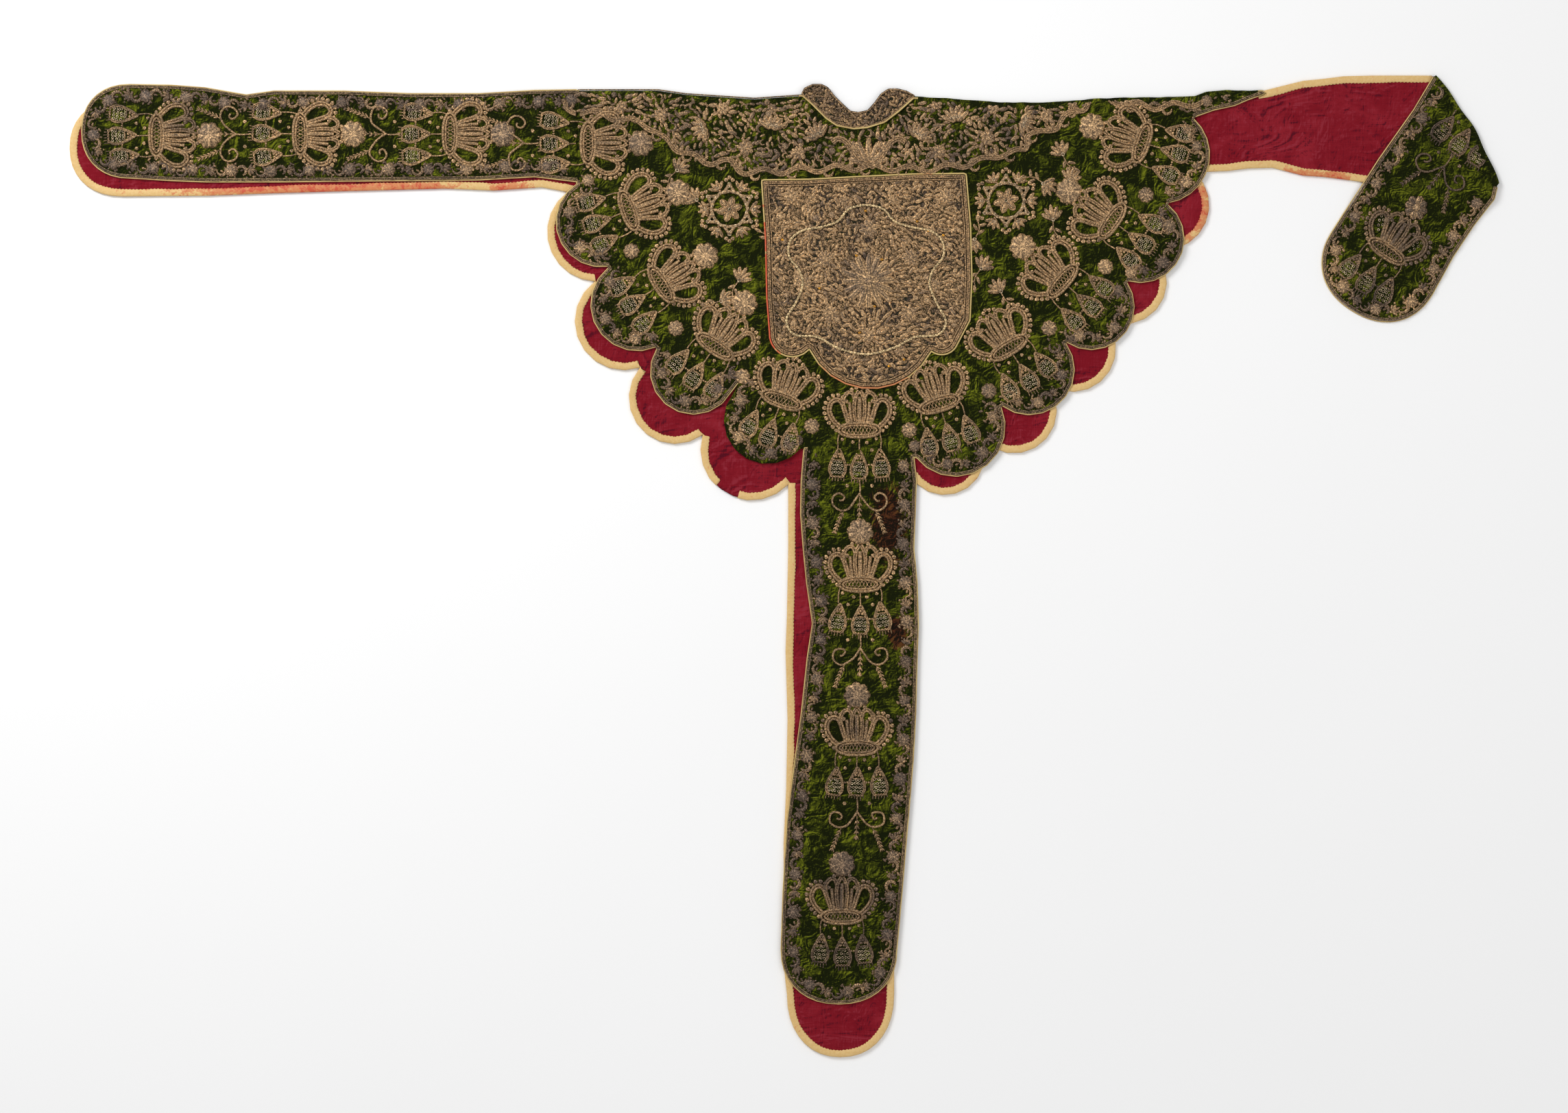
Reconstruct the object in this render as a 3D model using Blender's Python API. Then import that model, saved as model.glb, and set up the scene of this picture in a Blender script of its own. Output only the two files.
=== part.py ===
"""Ceremonial collar stole in embroidered velvet, laid flat.

The garment is cut as a cross: a scalloped cape with a neck opening, and bands that hang at the front,
the back and each shoulder. Here it lies folded along the shoulder line. The back half lies velvet
down with its cotton lining up, and the front half lies velvet up on top of it. The right band turns
its lining up and its rounded end is folded back over it.

Tables are in millimetres on the surface that the garment lies on: X runs from the left band to the
right band and Y from the centre bands to the shoulders. Every outline runs counter-clockwise, as
stretches of edge that are each either bound, turned at a fold or met by the next piece at a seam.
"""

import math

import bmesh
import bpy
from mathutils import Vector
from mathutils.geometry import delaunay_2d_cdt

MM = 0.001
GAP = 0.3                 # between pieces that touch
SEAM = GAP / 2            # each side's share of a seam
SCALLOP_STEPS = 9         # straight steps in a scallop's arc
END_STEPS = 18            # straight steps in a band's rounded end
CORD_SIDES = 6

# Heights of the layers above the surface
VELVET = (0.0, 1.4)                          # back velvet, face down
LINING = (1.7, 2.7)                          # back lining, on the velvet
BINDING_FLANGE = (3.0, 4.1)                  # yellow binding turned onto the lining
FRONT = (4.4, 6.2)                           # front velvet, face up
PANEL = (6.5, 8.1)                           # breast panel, on the front velvet
COLLAR = (4.4, 6.0)

# Widths of the trims
BINDING_WIDTH = 11.0
BINDING_LIP = 1.2
PIPING_RADIUS = 1.3
PIPING_INSET = 2 * PIPING_RADIUS + GAP       # the velvet stops short of its piping by this
FOLD_RADIUS = 3.1                            # of the velvet turned over the shoulder
FOLD_INSET = FOLD_RADIUS + GAP

# Heights of the raised embroidery above the velvet
YOKE_RELIEF = 0.8
CROWN_RELIEF = 1.6
FLOWER_RELIEF = 2.0
TASSEL_RELIEF = 1.5
STAR_RELIEF = 1.6
PANEL_RELIEF = 0.9
CREST_INSET = 1.2         # a raised motif's top is narrower than its foot by this all round
EDGE_CLEARANCE = 3.0      # least flat velvet round a raised motif

# Scallops: a row for each cusp, with the bulge of the arc that ends there
#               x     y  bulge
FRONT_LEFT_SCALLOPS = (
    (-317, 587, 0),
    (-270, 458, 57),
    (-196, 335, 64),
    (-81, 267, 70),
    (28, 180, 70),
)
FRONT_RIGHT_SCALLOPS = (
    (198, 168, 0),
    (331, 245, 69),
    (430, 342, 60),
    (523, 436, 55),
    (585, 555, 56),
    (625, 686, 44),
)
BACK_LEFT_SCALLOPS = (
    (-333, 573, 0),
    (-291, 436, 51),
    (-222, 304, 64),
    (-126, 201, 63),
    (5, 125, 60),
)
BACK_RIGHT_SCALLOPS = (
    (189, 143, 0),
    (301, 195, 60),
    (402, 279, 64),
    (488, 379, 60),
    (556, 489, 62),
    (627, 603, 56),
)

# Bands that lie along X: a row for each section, from the cape outwards
#     x   top  bottom
FRONT_LEFT_BAND = (
    (-317, 730, 587),
    (-383, 729, 595),
    (-467, 724, 590),
    (-572, 724, 589),
    (-677, 728, 588),
    (-782, 728, 587),
    (-824, 722, 587),
    (-887, 733, 587),
    (-940, 737, 589),
    (-1003, 738, 593),
)
FRONT_LEFT_END = 74       # depth of the rounded end past the last section
BACK_LEFT_BAND = (
    (-333, 716, 573),
    (-373, 715, 580),
    (-446, 712, 575),
    (-520, 711, 578),
    (-677, 715, 574),
    (-782, 715, 571),
    (-887, 718, 567),
    (-1015, 715, 566),
)
BACK_LEFT_END = 80

# Bands that lie along Y: a row for each section, outwards from the cusps where the scallops end
#     y  left  right
FRONT_CENTRE_BAND = (
    (132, 24, 202),
    (80, 23, 200),
    (27, 27, 198),
    (-25, 32, 203),
    (-88, 41, 205),
    (-141, 33, 203),
    (-225, 24, 201),
    (-298, 14, 197),
    (-393, 2, 189),
    (-498, -4, 180),
    (-587, -7, 172),
)
FRONT_CENTRE_END = 84
BACK_CENTRE_BAND = (
    (27, 5, 186),
    (-78, 3, 188),
    (-130, 1, 186),
    (-235, 4, 182),
    (-340, 2, 175),
    (-424, -2, 171),
    (-519, -2, 168),
    (-603, -3, 167),
    (-655, 3, 167),
)
BACK_CENTRE_END = 97

# The front's right shoulder turns to the back along this line, right to left
SHOULDER_FOLD = (
    (734, 729), (709, 728), (677, 729), (646, 727), (627, 720), (583, 718), (541, 718),
    (478, 716), (436, 712), (394, 710), (331, 710), (268, 715), (200, 719),
)
SLIVER_EDGE = ((656, 697), (688, 704), (709, 713), (732, 721))
LEFT_SHOULDER = ((24, 722), (-47, 717), (-152, 724), (-194, 730), (-278, 730), (-317, 730))
BACK_LEFT_SHOULDER = ((24, 706), (-47, 705), (-152, 708), (-278, 716), (-333, 716))
NECK_SEAM = ((200, 719), (173, 695), (152, 679), (126, 671), (105, 669), (79, 674), (63, 685), (42, 706), (24, 722))
COLLAR_TOP = (
    (188, 727), (173, 731), (158, 731), (146, 723), (136, 709), (126, 698), (112, 695),
    (100, 697), (87, 709), (75, 721), (66, 733), (56, 738), (42, 738), (29, 732),
)
BACK_NECK_DEPTH = 42      # of the back's neck edge, out of sight under the collar

# Breast panel: straight top and sides, hollowed at the lower corners round a hanging lobe
PANEL_TOP = ((278, 602), (194, 601), (110, 597), (37, 593), (-37, 592))
PANEL_LEFT = ((-31, 500), (-29, 410), (-25, 358))
PANEL_RIGHT = ((262, 334), (284, 376), (287, 440), (285, 520))
PANEL_LOBE = ((-25, 358, 0), (37, 330, 24), (224, 327, 58), (262, 334, 8))

# Right band, lining up: lower edge left to right and upper edge right to left
RIGHT_LOWER = (
    (627, 603), (677, 605), (709, 609), (746, 610), (793, 598), (824, 596), (856, 592), (898, 586), (987, 580),
)
RIGHT_UPPER = ((898, 751), (856, 750), (824, 746), (793, 743), (741, 731))
RIGHT_FOLD = ((992, 751), (1091, 582))       # the end turns over along this line, top to bottom
FLAP_RIGHT = ((1086, 561), (1055, 521), (1024, 474))
FLAP_LEFT = ((872, 568), (908, 624), (961, 699))
FLAP_END = ((992, 416), (835, 510), 86)      # corners of the rounded end, and its depth
FOLD_HEIGHT = 3.55                           # of the middle of the fold
LINING_TURN = 1.35                           # radius of the lining's middle at the fold
VELVET_TURN = 2.85
FLAP_MIDDLE = FOLD_HEIGHT + (LINING_TURN + VELVET_TURN) / 2
SETTLE_START = 6.0                           # past the band's lower edge the flap starts to sink
SETTLE_LENGTH = 40.0
SETTLE_DROP = 4.4
SETTLE_CREASES = [SETTLE_START + SETTLE_LENGTH * step / 5 for step in range(6)]

# Embroidered motifs: crowns with three tassels behind them and a flower before them.
# A row for each: middle of the crown, the way that it points in degrees, and flower or not
#     x    y  turn  flower
FRONT_CROWNS = (
    (-961, 659, 0, True),
    (-741, 661, 0, True),
    (-512, 661, 0, True),
    (-301, 647, 0, True),
    (-239, 544, 20, True),
    (-189, 431, 33, True),
    (-107, 336, 56, True),
    (-5, 254, 70, False),
    (236, 248, 107, False),
    (342, 334, 122, False),
    (424, 436, 139, True),
    (500, 528, 145, True),
    (546, 648, 162, True),
    (114, 208, 90, False),
    (115, -28, 90, True),
    (110, -278, 90, True),
    (87, -536, 90, True),
)
FLAP_CROWN = (921, 482, 56, True)
STARS = ((-85, 546), (338, 559))
CUSP_ROSETTES = (
    (-235, 482), (-167, 364), (-65, 290), (41, 214), (552, 568), (490, 458), (404, 364), (312, 268), (190, 208),
)

# Crown unit, in its own frame: it points along +X
CROWN_OUTLINE = (
    (-6, -31), (5, -34), (26, -45), (44, -40), (46, -26), (38, -12), (56, -7), (56, 7),
    (38, 12), (46, 26), (44, 40), (26, 45), (5, 34), (-6, 31),
)
FLOWER_AHEAD = 76
FLOWER_RADIUS = 16
TASSEL_BEHIND = 53
TASSEL_SPREAD = 36
TASSEL_OUTLINE = ((10, -5), (10, 5), (-4, 11), (-13, 9), (-13, -9), (-4, -11))
ROSETTE_RADIUS = 9
STAR_RADIUS = 30
STAR_FINIAL = 46
PANEL_CENTRE = (128, 436)
PANEL_ROSE_RADIUS = 44
PANEL_FLOWER_RADIUS = 13
PANEL_FLOWER_CIRCLE = 74
CARTOUCHE = (
    (14, 492), (2, 430), (24, 376), (76, 352), (128, 300), (180, 352), (232, 376), (254, 430), (242, 492),
    (250, 546), (190, 558), (128, 548), (66, 558), (6, 546),
)

# Yoke: the densely worked ground round the neck, down to its scrolled border
YOKE = (
    (-311, 716), (-311, 696), (-237, 682), (-207, 670), (-185, 648), (-149, 630), (-127, 618), (-91, 617),
    (-74, 608), (128, 610), (264, 612), (298, 618), (326, 628), (364, 636), (372, 657), (392, 660),
    (414, 672), (426, 685), (454, 697), (462, 703), (394, 701), (331, 701), (268, 705), (210, 706),
    (181, 687), (156, 671), (128, 662), (103, 660), (74, 666), (54, 681), (30, 709), (-47, 708),
    (-152, 715), (-240, 720),
)

# Colours and roughness of the materials, as they look in daylight
MATERIALS = {
    "green_velvet": ((0.13, 0.16, 0.02), 0.8),
    "crimson_lining": ((0.26, 0.015, 0.03), 0.85),
    "yellow_binding": ((0.78, 0.52, 0.12), 0.6),
    "pale_piping": ((0.72, 0.55, 0.22), 0.6),
    "gilt_embroidery": ((0.30, 0.22, 0.12), 0.5),
    "coral_edging": ((0.60, 0.13, 0.06), 0.7),
}


def clear_scene():
    for item in list(bpy.data.objects):
        bpy.data.objects.remove(item)


def material(name):
    colour, roughness = MATERIALS[name]
    made = bpy.data.materials.get(name)
    if made is None:
        made = bpy.data.materials.new(name)
        made.use_nodes = True
        shader = made.node_tree.nodes["Principled BSDF"]
        shader.inputs["Base Color"].default_value = (*colour, 1.0)
        shader.inputs["Roughness"].default_value = roughness
    return made


def arc(start, end, bulge, steps=SCALLOP_STEPS):
    """Points of an arc that bulges to the right of the way from start to end, or to the left if negative."""
    start, end = Vector(start), Vector(end)
    half = (end - start).length / 2
    along = (end - start).normalized()
    outward = math.copysign(1, bulge) * Vector((along.y, -along.x))
    bulge = abs(bulge)
    radius = (half * half + bulge * bulge) / (2 * bulge)
    centre = (start + end) / 2 - outward * (radius - bulge)
    sweep = math.atan2(half, radius - bulge)
    points = []
    for step in range(steps + 1):
        angle = -sweep + 2 * sweep * step / steps
        points.append(centre + along * radius * math.sin(angle) + outward * radius * math.cos(angle))
    return points


def scallops(cusps):
    """The edge through a table of cusps, with an arc before each cusp but the first."""
    points = [Vector(cusps[0][:2])]
    for start, end in zip(cusps, cusps[1:]):
        points += arc(start[:2], end[:2], end[2])[1:]
    return points


def round_end(start, end, depth, fullness=2.2):
    """Points strictly between start and end on a rounded end that reaches depth past them."""
    start, end = Vector(start), Vector(end)
    along = (end - start) / 2
    outward = Vector((along.y, -along.x)).normalized() * depth
    middle = (start + end) / 2
    points = []
    for step in range(1, END_STEPS):
        angle = math.pi * step / END_STEPS
        across = math.copysign(abs(math.cos(angle)) ** (2 / fullness), -math.cos(angle))
        points.append(middle + along * across + outward * math.sin(angle) ** (2 / fullness))
    return points


def turned(points, angle, place):
    """Points turned by an angle in degrees and moved to a place."""
    cosine, sine = math.cos(math.radians(angle)), math.sin(math.radians(angle))
    return [Vector((place[0] + x * cosine - y * sine, place[1] + x * sine + y * cosine)) for x, y in points]


def ring(radius, count, place, finial=None):
    """A round outline, or a star where every other point lies at the finial's radius."""
    points = []
    for step in range(count):
        reach = finial if finial and step % 2 else radius
        angle = math.tau * step / count
        points.append((reach * math.cos(angle), reach * math.sin(angle)))
    return turned(points, 0, place)


class Outline:
    """A closed outline made of stretches, each with its own inset."""

    def __init__(self, *stretches):
        self.points = []
        self.stretches = []
        self.spans = {}
        for name, kind, points in stretches:
            first = len(self.points)
            for point in points:
                point = Vector(point[:2])
                if not self.points or (point - self.points[-1]).length > 0.5:
                    self.points.append(point)
                    self.stretches.append(kind)
            if first and self.stretches:
                self.stretches[first - 1] = kind
                first -= 1
            self.spans[name] = (first, len(self.points) - 1)
        if (self.points[0] - self.points[-1]).length < 0.5:
            self.points.pop()
            self.stretches.pop()
        self.stretches[-1] = stretches[-1][1]

    def moved_in(self, insets):
        """The outline with each edge moved inwards by its kind's inset."""
        count = len(self.points)
        moved = []
        for index, point in enumerate(self.points):
            before = (point - self.points[index - 1]).normalized()
            after = (self.points[(index + 1) % count] - point).normalized()
            first, second = insets[self.stretches[index - 1]], insets[self.stretches[index]]
            normal_before = Vector((-before.y, before.x))
            normal_after = Vector((-after.y, after.x))
            turn = before.x * after.y - before.y * after.x
            if abs(turn) < 0.08:
                shift = (normal_before * first + normal_after * second) / 2
            else:
                shift = (after * first - before * second) / turn
            moved.append(point + shift)
        return moved

    def span(self, name, points):
        first, last = self.spans[name]
        return [points[index % len(points)] for index in range(first, last + 1)]


def new_object(name, bm, material_name, collection, height=None):
    """Turn a mesh in millimetres into a named object in metres."""
    if height:
        for vertex in bm.verts:
            vertex.co.z += height(vertex.co)
    bmesh.ops.recalc_face_normals(bm, faces=bm.faces)
    for vertex in bm.verts:
        vertex.co *= MM
    mesh = bpy.data.meshes.new(name)
    bm.to_mesh(mesh)
    bm.free()
    mesh.materials.append(material(material_name))
    made = bpy.data.objects.new(name, mesh)
    collection.objects.link(made)
    return made


def motif_fits(motif, boundary):
    """Whether a motif's foot lies clear of the panel's edge."""
    count = len(boundary)
    for point in motif:
        crossings = 0
        for index in range(count):
            start, end = boundary[index - 1], boundary[index]
            if (start.y > point.y) != (end.y > point.y):
                crossing = start.x + (point.y - start.y) / (end.y - start.y) * (end.x - start.x)
                crossings += crossing > point.x
            edge = end - start
            share = max(0.0, min(1.0, (point - start).dot(edge) / edge.length_squared))
            if (point - start - edge * share).length < EDGE_CLEARANCE:
                return False
        if crossings % 2 == 0:
            return False
    return True


def triangulate(boundary, loops=(), lines=()):
    """Triangles inside a boundary, with the loops and lines kept as edges."""
    points = list(boundary)
    edges = []
    owners = [None] * len(points)
    for number, loop in enumerate(loops):
        first = len(points)
        points += loop
        owners += [number] * len(loop)
        edges += [(first + index, first + (index + 1) % len(loop)) for index in range(len(loop))]
    for start, end in lines:
        edges.append((len(points), len(points) + 1))
        points += [start, end]
        owners += [None, None]
    face = list(range(len(boundary)))
    made = delaunay_2d_cdt(points, edges, [face], 1, 0.001)
    places, sources = made[0], made[3]
    faces = [corners for corners, inside in zip(made[2], made[5]) if inside]
    owner_of = [next((owners[old] for old in source if owners[old] is not None), None) for source in sources]
    return places, faces, owner_of


def raised_loops(motifs, boundary):
    """Foot and crest loops of the motifs that fit, with the height of each loop."""
    loops, heights = [], []
    for motif, foot, crest in motifs:
        if motif_fits(motif, boundary):
            loops += [motif, Outline(("foot", "bound", motif)).moved_in({"bound": CREST_INSET})]
            heights += [foot, crest]
    return loops, heights


def wall(name, boundary, layer, material_name, collection, motifs=()):
    """A cloth wall: a plain underside, and an upper side with raised motifs."""
    bottom, top = layer
    loops, heights = raised_loops(motifs, boundary)
    places, faces, owners = triangulate(boundary, loops)
    bm = bmesh.new()
    vertices = []
    for place, owner in zip(places, owners):
        vertices.append(bm.verts.new((place.x, place.y, top + (heights[owner] if owner is not None else 0.0))))
    for face in faces:
        bm.faces.new([vertices[index] for index in face])
    rim = [edge for edge in bm.edges if edge.is_boundary]
    drawn = bmesh.ops.extrude_edge_only(bm, edges=rim)["geom"]
    for item in drawn:
        if isinstance(item, bmesh.types.BMVert):
            item.co.z = bottom
    bmesh.ops.edgeloop_fill(bm, edges=[item for item in drawn if isinstance(item, bmesh.types.BMEdge)])
    return new_object(name, bm, material_name, collection)


def trim(name, outline, stretch, section, material_name, collection, height=None):
    """A strip along a stretch of an outline. The section's points are an inset and a height each."""
    closed = stretch is None
    rows = []
    for inset, level in section:
        insets = {kind: inset for kind in ("bound", "fold")}
        insets["seam"] = SEAM
        moved = outline.moved_in(insets)
        run = moved if closed else outline.span(stretch, moved)
        rows.append([Vector((point.x, point.y, level)) for point in run])
    bm = bmesh.new()
    grid = [[bm.verts.new(place) for place in row] for row in rows]
    steps = len(grid[0])
    for row, following in zip(grid, grid[1:] + grid[:1]):
        for step in range(steps if closed else steps - 1):
            ahead = (step + 1) % steps
            bm.faces.new((row[step], row[ahead], following[ahead], following[step]))
    if not closed:
        bm.faces.new([row[0] for row in grid])
        bm.faces.new([row[-1] for row in reversed(grid)])
    return new_object(name, bm, material_name, collection, height)


def cord_section(middle, inset=PIPING_RADIUS):
    """A round cord's section, as insets and heights."""
    section = []
    for side in range(CORD_SIDES):
        angle = math.tau * side / CORD_SIDES
        section.append((inset + PIPING_RADIUS * math.cos(angle), middle + PIPING_RADIUS * math.sin(angle)))
    return section


def binding_section():
    """A lip round the cloth's edge and a flange turned onto the lining."""
    low, high = BINDING_FLANGE
    return (
        (0.0, 0.0), (BINDING_LIP, 0.0), (BINDING_LIP, low),
        (BINDING_WIDTH, low), (BINDING_WIDTH, high), (0.0, high),
    )


def shoulder_section():
    """Half a tube, where the velvet turns over the shoulder from the front to the back."""
    inner = FOLD_RADIUS - (VELVET[1] - VELVET[0])
    angles = [math.pi * step / 6 for step in range(7)]
    outer_side = [(FOLD_RADIUS - FOLD_RADIUS * math.sin(a), FOLD_RADIUS - FOLD_RADIUS * math.cos(a)) for a in angles]
    inner_side = [(FOLD_RADIUS - inner * math.sin(a), FOLD_RADIUS - inner * math.cos(a)) for a in reversed(angles)]
    return outer_side + inner_side


def crown_unit(x, y, turn, flower):
    """Outlines of a crown, its three tassels and its flower."""
    heading = Vector((math.cos(math.radians(turn)), math.sin(math.radians(turn))))
    across = Vector((-heading.y, heading.x))
    place = Vector((x, y))
    motifs = [(turned(CROWN_OUTLINE, turn, place), 0.0, CROWN_RELIEF)]
    if flower:
        motifs.append((ring(FLOWER_RADIUS, 8, place + heading * FLOWER_AHEAD), 0.0, FLOWER_RELIEF))
    for side in (-1, 0, 1):
        spot = place - heading * (TASSEL_BEHIND + 4 * (side == 0)) + across * side * TASSEL_SPREAD
        motifs.append((turned(TASSEL_OUTLINE, turn + side * -12, spot), 0.0, TASSEL_RELIEF))
    return motifs


def front_motifs():
    motifs = [([Vector(point) for point in YOKE], 0.0, YOKE_RELIEF)]
    for row in FRONT_CROWNS:
        motifs += crown_unit(*row)
    motifs += [(ring(STAR_RADIUS, 16, place, STAR_FINIAL), 0.0, STAR_RELIEF) for place in STARS]
    motifs += [(ring(ROSETTE_RADIUS, 6, place), 0.0, TASSEL_RELIEF) for place in CUSP_ROSETTES]
    return motifs


def panel_motifs():
    """The panel's lobed ground with a rose at its middle and small flowers round that."""
    motifs = [([Vector(point) for point in CARTOUCHE], 0.0, PANEL_RELIEF)]
    motifs.append((ring(PANEL_ROSE_RADIUS, 16, PANEL_CENTRE), PANEL_RELIEF, 2 * PANEL_RELIEF))
    for place in ring(PANEL_FLOWER_CIRCLE, 6, PANEL_CENTRE):
        motifs.append((ring(PANEL_FLOWER_RADIUS, 8, place), PANEL_RELIEF, 2 * PANEL_RELIEF))
    return motifs


def band_along_x(rows, depth):
    """Edge of a band from its top corner at the cape round its end to its lower corner."""
    top = [Vector((x, high)) for x, high, low in rows]
    bottom = [Vector((x, low)) for x, high, low in reversed(rows)]
    return top + round_end(top[-1], bottom[0], depth) + bottom


def band_along_y(rows, depth, left_cusp, right_cusp):
    """Edge of a band from the cape's left cusp round its end to the cape's right cusp."""
    left = [Vector(left_cusp[:2])] + [Vector((low, y)) for y, low, high in rows]
    right = [Vector((high, y)) for y, low, high in reversed(rows)] + [Vector(right_cusp[:2])]
    return left + round_end(left[-1], right[0], depth) + right


def band_outline(edge):
    return Outline(("edge", "bound", edge), ("root", "seam", [edge[-1], edge[0]]))


def cape_outline(left, right, tail, shoulder_fold, neck, left_shoulder):
    return Outline(
        ("left_scallops", "bound", scallops(left)),
        ("centre_root", "seam", [left[-1], right[0]]),
        ("right_scallops", "bound", scallops(right) + list(tail)),
        ("tail_end", "seam", [(tail or right)[-1][:2], shoulder_fold[0]]),
        ("shoulder", "fold", shoulder_fold),
        ("neck", "seam", neck),
        ("left_shoulder", "bound", left_shoulder),
        ("left_root", "seam", [left_shoulder[-1], left[0]]),
    )


class TurnedBand:
    """The right band: flat with its lining up, then its end turned over along a fold line."""

    def __init__(self, radius, thickness):
        self.radius = radius
        self.thickness = thickness
        self.origin = Vector(RIGHT_FOLD[0])
        self.along = (self.origin - Vector(RIGHT_FOLD[1])).normalized()
        self.across = Vector((self.along.y, -self.along.x))
        self.turn = math.pi * radius

    def cut(self, point):
        """Where a point of the turned end lies on the flat cut."""
        offset = Vector(point) - self.origin
        return Vector((self.turn - offset.dot(self.across), offset.dot(self.along)))

    def flat(self, point):
        offset = Vector(point) - self.origin
        return Vector((offset.dot(self.across), offset.dot(self.along)))

    def outline(self):
        """The flat cut, counter-clockwise, in the fold line's own axes."""
        length = (Vector(RIGHT_FOLD[1]) - self.origin).length
        shoulder = [point for point in reversed(SHOULDER_FOLD) if point[0] >= RIGHT_LOWER[0][0]]
        end_right, end_left, depth = FLAP_END
        tip = [self.cut(point) for point in round_end(end_left, end_right, depth)]
        flap = [self.cut(point) for point in FLAP_RIGHT] + [self.cut(end_right)]
        flap += tip[::-1] + [self.cut(end_left)] + [self.cut(point) for point in FLAP_LEFT]
        upper = [self.flat(point) for point in RIGHT_UPPER]
        fold = [self.flat(point) for point in reversed(shoulder)]
        lower = [self.flat(point) for point in RIGHT_LOWER]
        return Outline(
            ("lower", "bound", lower + [Vector((0, -length))]),
            ("flap", "flap", [Vector((0, -length)), Vector((self.turn, -length))] + flap
             + [Vector((self.turn, 0)), Vector((0, 0))]),
            ("upper", "bound", upper),
            ("shoulder", "fold", fold),
            ("root", "seam", [fold[-1], lower[0]]),
        )

    def place(self, point, depth):
        """A point of the flat cut in space, at a depth from the cloth's middle towards its inner side."""
        reach, along = point
        radius = self.radius - depth
        if reach <= 0:
            across, level = reach, FOLD_HEIGHT - radius
        elif reach < self.turn:
            angle = reach / self.radius
            across, level = radius * math.sin(angle), FOLD_HEIGHT - radius * math.cos(angle)
        else:
            across, level = self.turn - reach, FOLD_HEIGHT + radius
        spot = self.origin + self.across * across + self.along * along
        if reach >= self.turn:
            level -= settled(spot)
        return Vector((spot.x, spot.y, level))

    def creases(self):
        """Lines across the cut that let it bend: round the fold, and where the end sinks to the surface."""
        lines = [(self.turn * step / 6, self.turn * step / 6) for step in range(7)]
        creases = [(Vector((a, -230)), Vector((b, 20))) for a, b in lines]
        start, end, down = lower_edge_line()
        for distance in SETTLE_CREASES:
            shift = down * distance
            creases.append((self.cut(start.lerp(end, -0.5) + shift), self.cut(start.lerp(end, 1.2) + shift)))
        return creases


def lower_edge_line():
    """The right band's lower edge under its turned end, and the way off the band from there."""
    start, end = Vector(RIGHT_LOWER[-2]), Vector(RIGHT_FOLD[1])
    return start, end, Vector((end.y - start.y, start.x - end.x)).normalized()


def past_lower_edge(spot):
    start, end, down = lower_edge_line()
    return (Vector(spot[:2]) - start).dot(down)


def settled(spot):
    """How far the turned end has sunk at a spot past the band's lower edge."""
    share = (past_lower_edge(spot) - SETTLE_START) / SETTLE_LENGTH
    share = max(0.0, min(1.0, share))
    return SETTLE_DROP * share * share * (3 - 2 * share)


def creased(points):
    """The points, and more where the way between them crosses a line along which the end sinks."""
    made = [points[0]]
    for start, end in zip(points, points[1:]):
        first, last = past_lower_edge(start), past_lower_edge(end)
        shares = [(distance - first) / (last - first) for distance in SETTLE_CREASES if abs(last - first) > 1]
        made += [start.lerp(end, share) for share in sorted(shares) if 0.02 < share < 0.98]
        made.append(end)
    return made


def turned_wall(name, band, insets, material_name, collection, motifs=()):
    """The wall of a turned band, with any motifs raised on its outer side."""
    boundary = band.outline().moved_in(insets)
    loops, heights = raised_loops(motifs, boundary)
    places, faces, owners = triangulate(boundary, loops, band.creases())
    bm = bmesh.new()
    half = band.thickness / 2
    inner, outer = {}, {}
    for index in sorted({index for face in faces for index in face}):
        relief = heights[owners[index]] if owners[index] is not None else 0.0
        inner[index] = bm.verts.new(band.place(places[index], half))
        outer[index] = bm.verts.new(band.place(places[index], -half - relief))
    used = {}
    for face in faces:
        bm.faces.new([inner[index] for index in face])
        bm.faces.new([outer[index] for index in reversed(face)])
        for start, end in zip(face, face[1:] + face[:1]):
            used[(start, end)] = True
    for start, end in used:
        if (end, start) not in used:
            bm.faces.new((inner[end], inner[start], outer[start], outer[end]))
    return new_object(name, bm, material_name, collection)


def make_back(collection):
    neck = arc(SHOULDER_FOLD[-1], BACK_LEFT_SHOULDER[0], -BACK_NECK_DEPTH, 8)
    shoulder = [point for point in SHOULDER_FOLD if point[0] <= RIGHT_LOWER[0][0]]
    pieces = {
        "back_cape": cape_outline(BACK_LEFT_SCALLOPS, BACK_RIGHT_SCALLOPS, (), shoulder, neck, BACK_LEFT_SHOULDER),
        "back_left_band": band_outline(band_along_x(BACK_LEFT_BAND, BACK_LEFT_END)),
        "back_centre_band": band_outline(
            band_along_y(BACK_CENTRE_BAND, BACK_CENTRE_END, BACK_LEFT_SCALLOPS[-1], BACK_RIGHT_SCALLOPS[0])),
    }
    insets = {"bound": BINDING_LIP + GAP, "fold": FOLD_INSET, "seam": SEAM}
    for name, outline in pieces.items():
        boundary = outline.moved_in(insets)
        wall(name + "_velvet", boundary, VELVET, "green_velvet", collection)
        wall(name + "_lining", boundary, LINING, "crimson_lining", collection)
    for name, stretch in (
        ("back_cape", "left_scallops"), ("back_cape", "right_scallops"), ("back_cape", "left_shoulder"),
        ("back_left_band", "edge"), ("back_centre_band", "edge"),
    ):
        title = name + "_binding" if stretch == "edge" else name + "_" + stretch + "_binding"
        trim(title, pieces[name], stretch, binding_section(), "yellow_binding", collection)


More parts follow.
